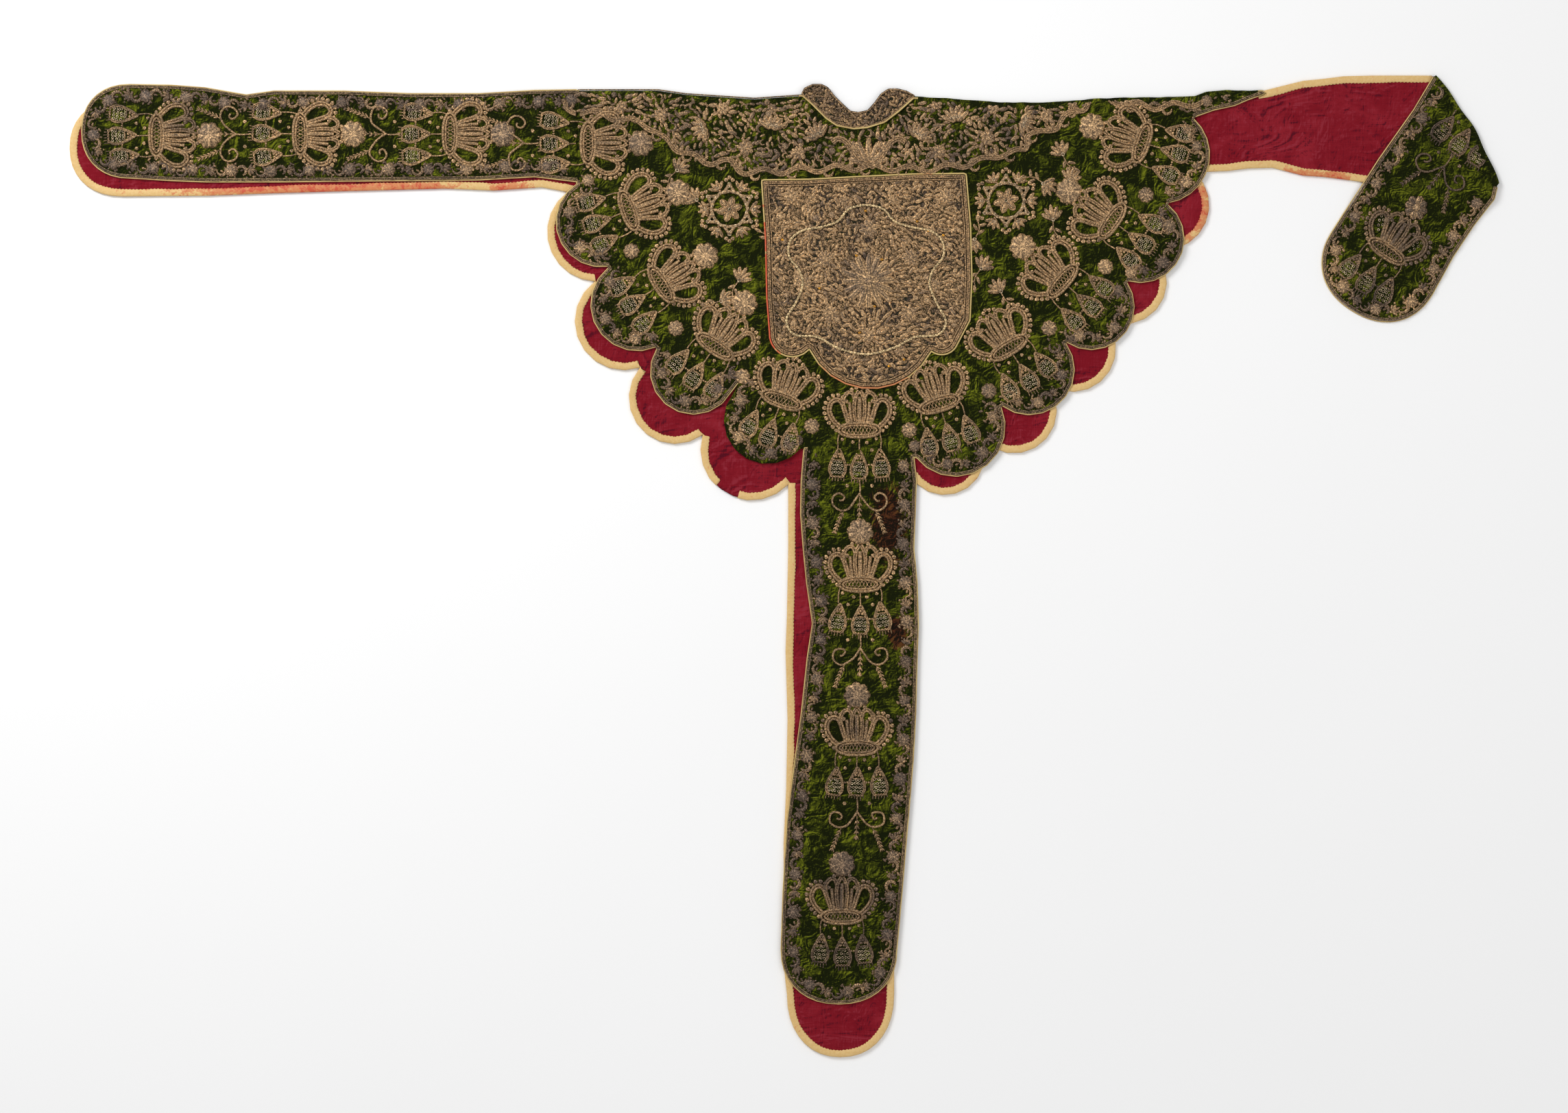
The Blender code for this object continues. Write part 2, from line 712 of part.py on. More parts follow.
def make_right_band(collection):
    insets = {"bound": BINDING_LIP + GAP, "fold": FOLD_INSET, "seam": SEAM, "flap": PIPING_INSET}
    velvet = TurnedBand(VELVET_TURN, VELVET[1] - VELVET[0])
    lining = TurnedBand(LINING_TURN, LINING[1] - LINING[0])
    x, y, turn, flower = FLAP_CROWN
    motifs = [([velvet.cut(point) for point in reversed(motif)], foot, crest)
              for motif, foot, crest in crown_unit(x, y, turn, flower)]
    turned_wall("right_band_velvet", velvet, insets, "green_velvet", collection, motifs)
    turned_wall("right_band_lining", lining, insets, "crimson_lining", collection)
    end_right, end_left, depth = FLAP_END
    # The bindings and the piping stop short of the turned fold
    upper_start = Vector(RIGHT_FOLD[0]).lerp(Vector(RIGHT_UPPER[0]), 0.06)
    lower_end = Vector(RIGHT_FOLD[1]).lerp(Vector(RIGHT_LOWER[-1]), 0.1)
    upper = Outline(
        ("upper", "bound", (upper_start,) + RIGHT_UPPER),
        ("inside", "seam", [RIGHT_UPPER[-1], (741, 660), (970, 660), upper_start]),
    )
    lower = Outline(
        ("lower", "bound", RIGHT_LOWER + (lower_end,)),
        ("inside", "seam", [lower_end, (1060, 640), (627, 640), RIGHT_LOWER[0]]),
    )
    trim("right_band_upper_binding", upper, "upper", binding_section(), "yellow_binding", collection)
    trim("right_band_lower_binding", lower, "lower", binding_section(), "yellow_binding", collection)
    flap_edge = [Vector(FLAP_LEFT[2]).lerp(Vector(FLAP_LEFT[1]), 0.1)]
    flap_edge += [Vector(FLAP_LEFT[1]), Vector(FLAP_LEFT[0]), Vector(end_left)]
    flap_edge += round_end(end_left, end_right, depth) + [Vector(end_right)]
    flap_edge += [Vector(FLAP_RIGHT[2]), Vector(FLAP_RIGHT[1]), Vector(FLAP_RIGHT[0]).lerp(Vector(FLAP_RIGHT[1]), 0.1)]
    flap = Outline(("edge", "bound", creased(flap_edge)), ("inside", "seam", [flap_edge[-1], flap_edge[0]]))
    trim("right_band_end_piping", flap, "edge", cord_section(FLAP_MIDDLE), "pale_piping", collection,
         lambda place: -settled(place))


def make_front(collection):
    cape = cape_outline(FRONT_LEFT_SCALLOPS, FRONT_RIGHT_SCALLOPS, SLIVER_EDGE, SHOULDER_FOLD, NECK_SEAM,
                        LEFT_SHOULDER)
    pieces = {
        "front_cape": cape,
        "front_left_band": band_outline(band_along_x(FRONT_LEFT_BAND, FRONT_LEFT_END)),
        "front_centre_band": band_outline(
            band_along_y(FRONT_CENTRE_BAND, FRONT_CENTRE_END, FRONT_LEFT_SCALLOPS[-1], FRONT_RIGHT_SCALLOPS[0])),
    }
    insets = {"bound": PIPING_INSET, "fold": FOLD_INSET, "seam": SEAM}
    for name, outline in pieces.items():
        wall(name + "_velvet", outline.moved_in(insets), FRONT, "green_velvet", collection, front_motifs())
    piping_level = FRONT[0] + PIPING_RADIUS
    for name, stretch in (
        ("front_cape", "left_scallops"), ("front_cape", "right_scallops"), ("front_cape", "left_shoulder"),
        ("front_left_band", "edge"), ("front_centre_band", "edge"),
    ):
        title = name + "_piping" if stretch == "edge" else name + "_" + stretch + "_piping"
        trim(title, pieces[name], stretch, cord_section(piping_level), "pale_piping", collection)
    trim("shoulder_turn_velvet", cape, "shoulder", shoulder_section(), "green_velvet", collection)
    collar = Outline(("top", "bound", COLLAR_TOP), ("base", "seam", tuple(reversed(NECK_SEAM))))
    wall("neck_collar", collar.moved_in({"bound": 0.0, "seam": SEAM}), COLLAR, "gilt_embroidery", collection)
    neck_line = Outline(("neck", "bound", NECK_SEAM), ("inside", "seam", [NECK_SEAM[-1], (24, 600), (200, 600),
                                                                         NECK_SEAM[0]]))
    trim("collar_seam_piping", neck_line, "neck", cord_section(FRONT[1] + YOKE_RELIEF + GAP + PIPING_RADIUS),
         "pale_piping", collection)


def make_breast_panel(collection):
    outline = Outline(
        ("top", "bound", PANEL_TOP),
        ("left", "bound", PANEL_LEFT),
        ("lobe", "bound", scallops(PANEL_LOBE)),
        ("right", "bound", PANEL_RIGHT + (PANEL_TOP[0],)),
    )
    boundary = outline.moved_in({"bound": PIPING_INSET})
    wall("breast_panel", boundary, PANEL, "gilt_embroidery", collection, panel_motifs())
    trim("breast_panel_piping", outline, None, cord_section(PANEL[0] + PIPING_RADIUS), "coral_edging", collection)


def centre_on_origin(collection):
    """Set the middle of the whole garment's outline over the origin."""
    corners = [vertex.co for item in collection.objects for vertex in item.data.vertices]
    for axis in (0, 1):
        middle = (min(corner[axis] for corner in corners) + max(corner[axis] for corner in corners)) / 2
        for item in collection.objects:
            item.location[axis] = -middle


def main():
    clear_scene()
    collection = bpy.data.collections.new("velvet_collar_stole")
    bpy.context.scene.collection.children.link(collection)
    make_back(collection)
    make_right_band(collection)
    make_front(collection)
    make_breast_panel(collection)
    centre_on_origin(collection)


main()
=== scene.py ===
"""Ceremonial collar stole in embroidered velvet, laid flat with its right band's end turned over.

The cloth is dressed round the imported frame: its outlines are read from the frame's own pieces, and
the couched threads, knots, spangles and flowers are sewn onto the cloth's surface. Sizes in the
tables are millimetres on the cutting table, where X runs from the left band to the right band and Y
from the centre bands to the shoulders.
"""

import math

import bmesh
import bpy
import numpy as np
from bpy.props import FloatProperty, FloatVectorProperty, PointerProperty
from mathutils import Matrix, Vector
from mathutils.geometry import delaunay_2d_cdt
from mathutils.kdtree import KDTree


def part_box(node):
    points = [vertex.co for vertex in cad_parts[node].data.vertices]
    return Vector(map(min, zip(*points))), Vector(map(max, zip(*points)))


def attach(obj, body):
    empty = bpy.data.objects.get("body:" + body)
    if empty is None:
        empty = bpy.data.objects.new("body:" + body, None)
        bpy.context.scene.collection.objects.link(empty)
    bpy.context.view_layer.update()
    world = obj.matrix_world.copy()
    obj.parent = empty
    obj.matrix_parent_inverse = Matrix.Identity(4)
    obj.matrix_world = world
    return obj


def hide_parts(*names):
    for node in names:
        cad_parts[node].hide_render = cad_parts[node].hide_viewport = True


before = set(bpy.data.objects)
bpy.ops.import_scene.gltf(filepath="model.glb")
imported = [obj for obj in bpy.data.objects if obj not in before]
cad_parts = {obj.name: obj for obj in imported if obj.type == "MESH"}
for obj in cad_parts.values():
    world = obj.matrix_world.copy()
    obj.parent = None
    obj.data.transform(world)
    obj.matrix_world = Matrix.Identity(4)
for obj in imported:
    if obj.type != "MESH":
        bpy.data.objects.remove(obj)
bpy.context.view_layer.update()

bl_info = {
    "name": "Velvet Collar Stole",
    "version": (1, 0, 0),
    "blender": (4, 5, 0),
    "location": "3D View > Sidebar > Stole",
    "description": "Builds an embroidered velvet collar stole, laid flat",
    "category": "Add Mesh",
}

MM = 0.001

# The frame is centred on its own middle; the left and lower ends of the cut say where that is
LEFT_END, LOWER_END = -1095.0, -752.0
SHIFT = np.array([
    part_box("back_left_band_binding")[0].x / MM - LEFT_END,
    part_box("back_centre_band_binding")[0].y / MM - LOWER_END,
])

# Heights of the layers above the surface
BACK_VELVET = (0.0, 1.4)
BACK_LINING = (1.7, 2.7)
FRONT_VELVET = (4.4, 6.2)
PANEL = (6.5, 8.1)
COLLAR = (4.4, 6.0)

# How far each kind of edge stands outside the frame's velvet
BOUND_MARGIN = 1.5
PIPED_MARGIN = 2.9

# Right band: its end turns over along the fold line, top to bottom, and sinks past the lower edge
FOLD = ((992, 751), (1091, 582))
FOLD_HEIGHT = 3.55
VELVET_TURN = 2.85
LINING_TURN = 1.35
LOWER_EDGE = ((898, 586), (1091, 582))
SETTLE_START, SETTLE_LENGTH, SETTLE_DROP = 6.0, 40.0, 4.4
FLAP_RIGHT = ((1086, 561), (1055, 521), (1024, 474), (992, 416))
FLAP_LEFT = ((835, 510), (872, 568), (908, 624), (961, 699))
FLAP_DEPTH = 86
FOLD_BULGE, BULGE_REACH = 9.0, 80.0  # how far the fold swells out, and how far into the cloth that reaches
SHARP_TURN, NEAR_END = 0.7, 12       # radians and samples: a corner this near a binding's end ends it
COVERED_RUN = 22.0                   # how far a binding runs on under the front
PRESSED_EDGE = 6.0                   # how far the breast panel presses the velvet beside it
SEAM_OVERLAP = 0.25                  # of the front's pieces at their seams
TURN_ALLOWANCE = 5.0                 # of the shoulder turn's cut, in its two seams

# Crowns, each with three tassels behind it: its middle, the way it points in degrees, whether its
# flower shows, and whether a forked stem grows behind its tassels
CROWNS = (
    (-961, 659, 0, True, False),
    (-741, 661, 0, True, True),
    (-512, 661, 0, True, True),
    (-301, 647, 0, True, True),
    (-239, 544, 20, True, False),
    (-189, 431, 33, True, False),
    (-107, 336, 56, True, False),
    (-5, 254, 70, False, False),
    (236, 248, 107, False, False),
    (342, 334, 122, False, False),
    (424, 436, 139, True, False),
    (500, 528, 145, True, False),
    (546, 648, 162, True, False),
    (114, 208, 90, False, True),
    (115, -28, 90, True, True),
    (110, -278, 90, True, True),
    (87, -536, 90, True, False),
)
FLAP_CROWN = (921, 482, 56)
FLAP_TASSELS = (1063, 693, 56)       # middle of the crown that the fold takes out of sight

# A crown in its own frame, pointing along +X, its left side only
CROWN_BASE = (32, 11)
CROWN_EAR = ((5, 30), (15, 40), (27, 46), (39, 45), (46, 38), (45, 30), (37, 25), (23, 20.5), (11, 16))
CROWN_LOOP = ((10, 17), (24, 21), (40, 25), (51, 23.5), (57.5, 17), (56, 10.5), (48, 7.5))
CROWN_LOBE = ((10, 5.2), (24, 7.6), (40, 8), (52, 5.6), (60, 0.8))
CROWN_RIBS = (((11, 0.9), (30, 1.0), (51, 0.4)), ((10, 11.6), (26, 14), (43, 15.6)))
EAR_KNOTS = 12
CROWN_FLOWER = 80
TASSELS = ((-49, 33, 6), (-52, 0, 0), (-49, -33, -6))
BELL = ((21, 1), (16, 4), (9, 7.5), (1, 11), (-8, 13.2), (-15, 12.8), (-21, 9.5))
BELL_SPANGLES = (
    (1, -4), (1, 1), (1.5, 6), (-4.5, -7.4), (-4.5, -2.5), (-4.5, 2.5), (-4.5, 7.4), (-10, -5), (-10, 0),
    (-10, 5), (-10, 9.6), (-10, -9.8), (-15.5, -7.4), (-15.5, -2.5), (-15.5, 2.5), (-15.5, 7.4),
)
CAP_KNOTS = (
    (20, 0), (16.5, -2.2), (16.5, 2.2), (12.5, 0), (12, -4.4), (12, 4.4), (8.5, -2.6), (8.5, 2.6), (7.5, -6.6),
    (7.5, 6.6),
)
FRINGE = (-10.5, -6.3, -2.1, 2.1, 6.3, 10.5)
TASSEL_DOTS = ((-14, 26), (-19, 11), (-19, -11), (-14, -26), (-31, 19), (-31, -19))
FORK_STEM = ((-76, 0), (-90, -1), (-101, 0))
FORK_ARM = (
    (-98, 0), (-108, 7), (-119, 17), (-122, 30), (-114, 41), (-102, 40), (-97, 31), (-102, 23), (-109, 26),
    (-108, 31),
)
FORK_FERN = ((-121, 23), (-135, 30), (-153, 37))
FORK_BUD = ((-103, 0), (-118, 0), (-134, 1))

STARS = ((-85, 546), (338, 559))
CUSP_ROSETTES = (
    (-235, 482), (-167, 364), (-65, 290), (41, 214), (552, 568), (490, 458), (404, 364), (312, 268),
    (190, 208),
)
# Sprays of leaves on the cape: where each grows from, and the way it points
SPRAYS = (
    (-165, 605, 50), (-70, 437, 60), (-98, 405, 20), (425, 630, 120), (435, 590, 70), (410, 530, 100),
    (330, 420, 125), (300, 455, 60), (-135, 560, 140), (-20, 490, -60), (290, 500, -110), (395, 585, -30),
)

# Breast panel
VINE_WIDTH = 24
PANEL_GROWTH = (
    (128, 436), (128, 530), (128, 352), (128, 590), (62, 470), (70, 386), (24, 432), (60, 560), (20, 562),
    (40, 512), (34, 350), (92, 306), (88, 500), (96, 410), (-6, 480), (-4, 400), (100, 566),
)
PANEL_SPECKS = (
    (123, 543), (202, 527), (219, 513), (-4, 499), (109, 475), (148, 469), (242, 506), (53, 425), (137, 397),
    (114, 357), (182, 316), (159, 306),
)
PANEL_ROSE = (128, 436, 46, 16)
PANEL_FLOWERS = (
    (190, 386, 15, 12), (70, 386, 15, 10), (62, 470, 15, 10), (192, 472, 15, 10), (128, 352, 13, 8),
    (128, 516, 17, 8), (228, 430, 13, 8), (30, 432, 13, 8), (176, 330, 11, 8), (80, 334, 11, 8),
    (10, 566, 14, 9), (246, 566, 14, 9), (90, 560, 10, 8), (166, 560, 10, 8), (36, 512, 10, 7), (222, 512, 10, 7),
)
CARTOUCHE = (
    (124, 552), (98, 546), (80, 527), (53, 518), (26, 513), (8, 498), (6, 474), (22, 452), (27, 430), (16, 402),
    (2, 376), (14, 354), (50, 350), (82, 333), (124, 324), (167, 334), (198, 350), (234, 354), (246, 374),
    (232, 402), (221, 430), (226, 452), (242, 474), (240, 498), (222, 513), (195, 518), (168, 527), (150, 546),
)

COLLAR_GROWTH = ((110, 682), (84, 690), (60, 706), (42, 722), (140, 690), (158, 706), (178, 718))

# Yoke: its scrolled lower border, left to right, and the larger flowers on it
YOKE_TOP_MARGIN = 1.5
YOKE_BORDER = (
    (-341, 714), (-339, 696), (-303, 692), (-237, 678), (-205, 668), (-185, 648), (-149, 628), (-127, 616),
    (-91, 616), (-73, 604), (-40, 600), (40, 604), (128, 607), (220, 604), (263, 610), (298, 616), (325, 626),
    (367, 634), (369, 656), (392, 659), (414, 670), (426, 681), (454, 696), (476, 712), (560, 700), (640, 706),
)
YOKE_SHELLS = ((262, 680, 100), (-21, 668, 80), (-120, 672, 200), (360, 682, 340), (200, 655, 60), (52, 655, 120))
YOKE_FLOWERS = (
    (-60, 640, 13), (-95, 700, 11), (-190, 690, 12), (-250, 702, 10), (20, 632, 12), (236, 634, 12), (310, 655, 13),
    (318, 700, 10), (400, 690, 11), (150, 640, 12), (106, 640, 12), (-20, 700, 9), (232, 706, 9), (440, 705, 8),
)
PALMETTE = (128, 612, 90)
PALMETTE_ARM = ((2, 4), (10, 16), (24, 26), (36, 34), (42, 46), (36, 56))
YOKE_WAVE = 56.0                     # length of one swing of the yoke's lower scroll

# Colour faults, in the cut: middle and half sizes
WORN_PATCHES = ((158, 62, 27, 62), (172, -98, 16, 26))
TORN = (-89, 115, 19)                # middle and reach of the stretch where the binding has come away
STAINS = (
    (-750, 583, 190, 16), (617, 548, 34, 44), (790, 592, 55, 13), (-570, 578, 60, 10), (840, 594, 22, 8),
    (40, 80, 12, 30), (-420, 578, 30, 9),
)


# ---- Settings ----

class StoleCloth(bpy.types.PropertyGroup):
    """Cloth: how finely it is meshed, how it lies, and its colours"""

    pitch: FloatProperty(name="Mesh Pitch", description="Distance between the cloth's mesh points",
                         default=0.0050, min=0.002, max=0.02, unit="LENGTH")
    ridge_height: FloatProperty(name="Velvet Ridges", description="Height of the crushed velvet's ridges",
                                default=0.0022, min=0.0, max=0.004, unit="LENGTH")
    crease_height: FloatProperty(name="Lining Creases", description="Height of the lining's creases",
                                 default=0.0012, min=0.0, max=0.003, unit="LENGTH")
    # Velvet Shade and Velvet Ridge are painted shade and painted highlight for the crushed pile; the velvet's colour
    # runs between them through its middle tone.
    velvet_dark: FloatVectorProperty(name="Velvet Shade", description="Velvet where the pile lies away",
                                     subtype="COLOR", default=(0.0066, 0.0088, 0.0009), min=0.0, max=1.0)
    velvet_mid: FloatVectorProperty(name="Velvet", description="Velvet's middle tone",
                                    subtype="COLOR", default=(0.034, 0.041, 0.0026), min=0.0, max=1.0)
    velvet_bright: FloatVectorProperty(name="Velvet Ridge", description="Velvet where the pile catches light",
                                       subtype="COLOR", default=(0.155, 0.172, 0.010), min=0.0, max=1.0)
    velvet_worn: FloatVectorProperty(name="Worn Velvet", description="Ground cloth where the pile is gone",
                                     subtype="COLOR", default=(0.085, 0.018, 0.010), min=0.0, max=1.0)
    lining: FloatVectorProperty(name="Lining", description="Crimson cotton lining",
                                subtype="COLOR", default=(0.192, 0.005, 0.0125), min=0.0, max=1.0)
    lining_faded: FloatVectorProperty(name="Faded Lining", description="Lining where it has faded",
                                      subtype="COLOR", default=(0.255, 0.0125, 0.0225), min=0.0, max=1.0)


class StoleTrims(bpy.types.PropertyGroup):
    """Binding, piping and edge cords"""

    binding_width: FloatProperty(name="Binding Width", description="Width of the binding on the lining",
                                 default=0.011, min=0.004, max=0.03, unit="LENGTH")
    piping_radius: FloatProperty(name="Piping Radius", description="Radius of the piping on the front edges",
                                 default=0.0011, min=0.0005, max=0.004, unit="LENGTH")
    cord_radius: FloatProperty(name="Edge Cord Radius", description="Radius of the metal cord inside the piping",
                               default=0.0011, min=0.0005, max=0.004, unit="LENGTH")
    binding: FloatVectorProperty(name="Binding", description="Yellow silk binding", subtype="COLOR",
                                 default=(0.68, 0.44, 0.165), min=0.0, max=1.0)
    stain: FloatVectorProperty(name="Stain", description="Orange-red stain on the binding", subtype="COLOR",
                               default=(0.52, 0.065, 0.028), min=0.0, max=1.0)
    piping: FloatVectorProperty(name="Piping", description="Pale piping", subtype="COLOR",
                                default=(0.60, 0.44, 0.17), min=0.0, max=1.0)
    coral: FloatVectorProperty(name="Coral Edging", description="Coral silk edging", subtype="COLOR",
                               default=(0.66, 0.115, 0.05), min=0.0, max=1.0)


class StoleThreads(bpy.types.PropertyGroup):
    """Metal threads, knots and spangles"""

    thread_radius: FloatProperty(name="Thread Radius", description="Radius of a couched thread",
                                 default=0.0013, min=0.0004, max=0.003, unit="LENGTH")
    knot_radius: FloatProperty(name="Knot Radius", description="Radius of a knot beside a crown",
                               default=0.0042, min=0.001, max=0.008, unit="LENGTH")
    spangle_radius: FloatProperty(name="Spangle Radius", description="Radius of a ring spangle",
                                  default=0.0019, min=0.0008, max=0.005, unit="LENGTH")
    thread: FloatVectorProperty(name="Metal Thread", description="Tarnished metal thread", subtype="COLOR",
                                default=(0.325, 0.203, 0.100), min=0.0, max=1.0)
    thread_dull: FloatVectorProperty(name="Dull Thread", description="Thread where it has blackened",
                                     subtype="COLOR", default=(0.092, 0.062, 0.042), min=0.0, max=1.0)
    spangle: FloatVectorProperty(name="Spangle", description="Brighter metal of the spangles", subtype="COLOR",
                                 default=(0.60, 0.46, 0.30), min=0.0, max=1.0)


class StoleStage(bpy.types.PropertyGroup):
    """Floor, lights and camera"""

    view_width: FloatProperty(name="View Width", description="Width of floor that the camera takes in",
                              default=2.401, min=0.5, max=10.0, unit="LENGTH")
    view_height: FloatProperty(name="Camera Height", description="Height of the camera above the floor",
                               default=6.0, min=1.0, max=20.0, unit="LENGTH")
    floor: FloatVectorProperty(name="Floor", description="Colour of the floor", subtype="COLOR",
                               default=(0.97, 0.97, 0.97), min=0.0, max=1.0)
    key: FloatProperty(name="Key Light", description="Power of the key light", default=105.0, min=0.0)
    fill: FloatProperty(name="Fill Light", description="Power of the fill light", default=28.0, min=0.0)


# ---- Lines and outlines, in millimetres ----

def resampled(points, step, closed=False):
    """The same line with even steps."""
    points = np.asarray(points, float)
    if closed:
        points = np.vstack([points, points[:1]])
    lengths = np.concatenate([[0], np.cumsum(np.linalg.norm(np.diff(points, axis=0), axis=1))])
    count = max(2, int(round(lengths[-1] / step)))
    places = np.linspace(0, lengths[-1], count + 1)
    line = np.column_stack([np.interp(places, lengths, points[:, axis]) for axis in range(points.shape[1])])
    return line[:-1] if closed else line


def flow(points, step=3.0, closed=False):
    """A smooth line through the points, with even steps."""
    p = np.asarray(points, float)
    if closed:
        p = np.vstack([p[-1:], p, p[:2]])
    else:
        p = np.vstack([2 * p[0] - p[1], p, 2 * p[-1] - p[-2]])
    t = np.linspace(0, 1, 8, endpoint=False)[:, None]
    curve = [
        0.5 * (2 * b + (c - a) * t + (2 * a - 5 * b + 4 * c - d) * t ** 2 + (3 * b - a - 3 * c + d) * t ** 3)
        for a, b, c, d in zip(p, p[1:], p[2:], p[3:])
    ]
    if not closed:
        curve.append(p[-2:-1])
    return resampled(np.vstack(curve), step, closed)


def beside(points, distance, closed=False):
    """The line moved to its left by a distance."""
    points = np.asarray(points, float)
    if closed:
        ahead, behind = np.roll(points, -1, axis=0), np.roll(points, 1, axis=0)
    else:
        ahead = np.vstack([points[1:], 2 * points[-1:] - points[-2:-1]])
        behind = np.vstack([2 * points[:1] - points[1:2], points[:-1]])
    way = ahead - behind
    way /= np.maximum(np.linalg.norm(way, axis=1), 1e-9)[:, None]
    return points + distance * np.column_stack([-way[:, 1], way[:, 0]])


def lens(half_length, half_width, steps=24):
    """A pointed oval that lies across the way its motif points."""
    angle = np.linspace(0, 2 * np.pi, steps, endpoint=False)
    return np.column_stack([half_width * np.sin(angle), half_length * np.sign(np.cos(angle))
                            * np.abs(np.cos(angle)) ** 0.8])


def spiral(middle, start, radius, turns, step=2.0):
    """A line that winds in to its middle, from an angle in degrees."""
    angle = np.linspace(0, turns * 2 * np.pi, int(abs(turns) * 22))
    reach = radius * (1 - 0.85 * np.abs(angle) / abs(turns * 2 * np.pi))
    angle = angle + math.radians(start)
    return resampled(np.column_stack([middle[0] + reach * np.cos(angle), middle[1] + reach * np.sin(angle)]), step)


def round_end(start, end, depth, fullness=2.2, steps=30):
    """A rounded end between two corners, on the right of the way from one to the other."""
    start, end = np.array(start, float), np.array(end, float)
    along = (end - start) / 2
    outward = np.array([along[1], -along[0]]) / np.linalg.norm(along) * depth
    angle = np.linspace(0, np.pi, steps)[:, None]
    across = -np.sign(np.cos(angle)) * np.abs(np.cos(angle)) ** (2 / fullness)
    return (start + end) / 2 + along * across + outward * np.abs(np.sin(angle)) ** (2 / fullness)


def inside(points, outline):
    """Which points lie inside an outline."""
    x, y = points[:, 0], points[:, 1]
    within = np.zeros(len(points), bool)
    for (ax, ay), (bx, by) in zip(outline, np.roll(outline, -1, axis=0)):
        if ay != by:
            crossing = ((ay > y) != (by > y)) & (x < (bx - ax) * (y - ay) / (by - ay) + ax)
            within ^= crossing
    return within


def distance_to(points, line, closed=True):
    """Distance of each point from a line."""
    line = np.asarray(line, float)
    ends = np.roll(line, -1, axis=0) if closed else line[1:]
    nearest = np.full(len(points), np.inf)
    for a, b in zip(line, ends):
        way = b - a
        share = np.clip(((points - a) @ way) / max(way @ way, 1e-9), 0, 1)
        nearest = np.minimum(nearest, np.linalg.norm(points - a - share[:, None] * way, axis=1))
    return nearest


def node_outline(name):
    """The edge of a frame piece's flat underside, counter-clockwise in the cut."""
    bm = bmesh.new()
    bm.from_mesh(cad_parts[name].data)
    bmesh.ops.remove_doubles(bm, verts=bm.verts, dist=1e-6)
    bm.normal_update()
    bottom = min(vertex.co.z for vertex in bm.verts)
    under = {face for face in bm.faces
             if face.normal.z < -0.9 and all(abs(vertex.co.z - bottom) < 1e-5 for vertex in face.verts)}
    following = {}
    for face in under:
        for loop in face.loops:
            if sum(other in under for other in loop.edge.link_faces) == 1:
                following[loop.link_loop_next.vert] = loop.vert
    outline, rest = [], dict(following)
    while rest:
        first = next(iter(rest))
        run, vertex = [], first
        while vertex in rest:
            run.append(vertex)
            vertex = rest.pop(vertex)
        if len(run) > len(outline):
            outline = run
    points = np.array([vertex.co[:2] for vertex in outline]) / MM - SHIFT
    bm.free()
    return points


def node_points(name):
    """A frame piece's points, in the cut."""
    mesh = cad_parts[name].data
    points = np.empty(len(mesh.vertices) * 3)
    mesh.vertices.foreach_get("co", points)
    return points.reshape(-1, 3)[:, :2] / MM - SHIFT


def trim_places(name, step=3.0):
    """A search tree of places along a frame trim's own edges."""
    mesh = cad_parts[name].data
    points = node_points(name)
    ends = np.empty(len(mesh.edges) * 2, int)
    mesh.edges.foreach_get("vertices", ends)
    places = [points]
    for first, last in zip(points[ends[0::2]], points[ends[1::2]]):
        count = int(math.dist(first, last) / step)
        if count > 1:
            places.append(first + (last - first) * np.linspace(0, 1, count, endpoint=False)[:, None])
    places = np.unique(np.round(np.vstack(places)), axis=0)
    tree = KDTree(len(places))
    for index, (x, y) in enumerate(places):
        tree.insert((x, y, 0), index)
    tree.balance()
    return tree


def edge_run(outline, trim, margin, reach=4.0, step=3.3, extend=0.0, cover=None):
    """The stretch of an outline that a trim follows, moved out onto the trimmed edge.

    An end runs on by a length, and further where that is still under a cover."""
    line = resampled(outline, step, closed=True)
    tree = trim_places(trim)
    near = np.array([tree.find((x, y, 0))[2] < reach for x, y in line])
    if near.all():
        return beside(line, -margin, closed=True), True
    gap = np.flatnonzero(~near)
    line, near = np.roll(line, -gap[0], axis=0), np.roll(near, -gap[0])
    runs, run = [], []
    for point, flag in zip(line, near):
        if flag:
            run.append(point)
        elif run:
            runs.append(run)
            run = []
    runs.append(run)
    longest = np.array(max(runs, key=len))
    if extend:
        ways = np.unwrap(np.arctan2(*np.diff(longest, axis=0)[:, ::-1].T))
        corners = np.flatnonzero(np.abs(np.diff(ways)) > SHARP_TURN) + 1
        early, late = corners[corners < NEAR_END], corners[corners > len(longest) - NEAR_END]
        longest = longest[early.max(initial=0):late.min(initial=len(longest)) + 1]
        longest = longest[2:-2]
        ends = []
        for end, before in ((longest[0], longest[2]), (longest[-1], longest[-3])):
            way = (end - before) / np.linalg.norm(end - before)
            hidden = cover is not None and inside(np.array([end + way * COVERED_RUN]), cover)[0]
            ends.append(end + way * (COVERED_RUN if hidden else extend))
        longest = np.vstack([ends[0], longest, ends[1]])
    return beside(longest, -margin), False


# ---- How the cloth lies ----

def value_noise(x, y, seed, cells=64):
    """Smooth noise from 0 to 1 on unit cells."""
    table = np.random.default_rng(seed).random((cells, cells))
    column, row = np.floor(x).astype(int), np.floor(y).astype(int)
    u, v = x - column, y - row
    u, v = u * u * (3 - 2 * u), v * v * (3 - 2 * v)
    a, b = column % cells, (column + 1) % cells
    c, d = row % cells, (row + 1) % cells
    low = table[a, c] * (1 - u) + table[b, c] * u
    high = table[a, d] * (1 - u) + table[b, d] * u
    return low * (1 - v) + high * v


def ridged(x, y, length, seed):
    """Sharp ridges, 1 at their crests."""
    return 1 - np.abs(2 * value_noise(x / length, y / length, seed) - 1)


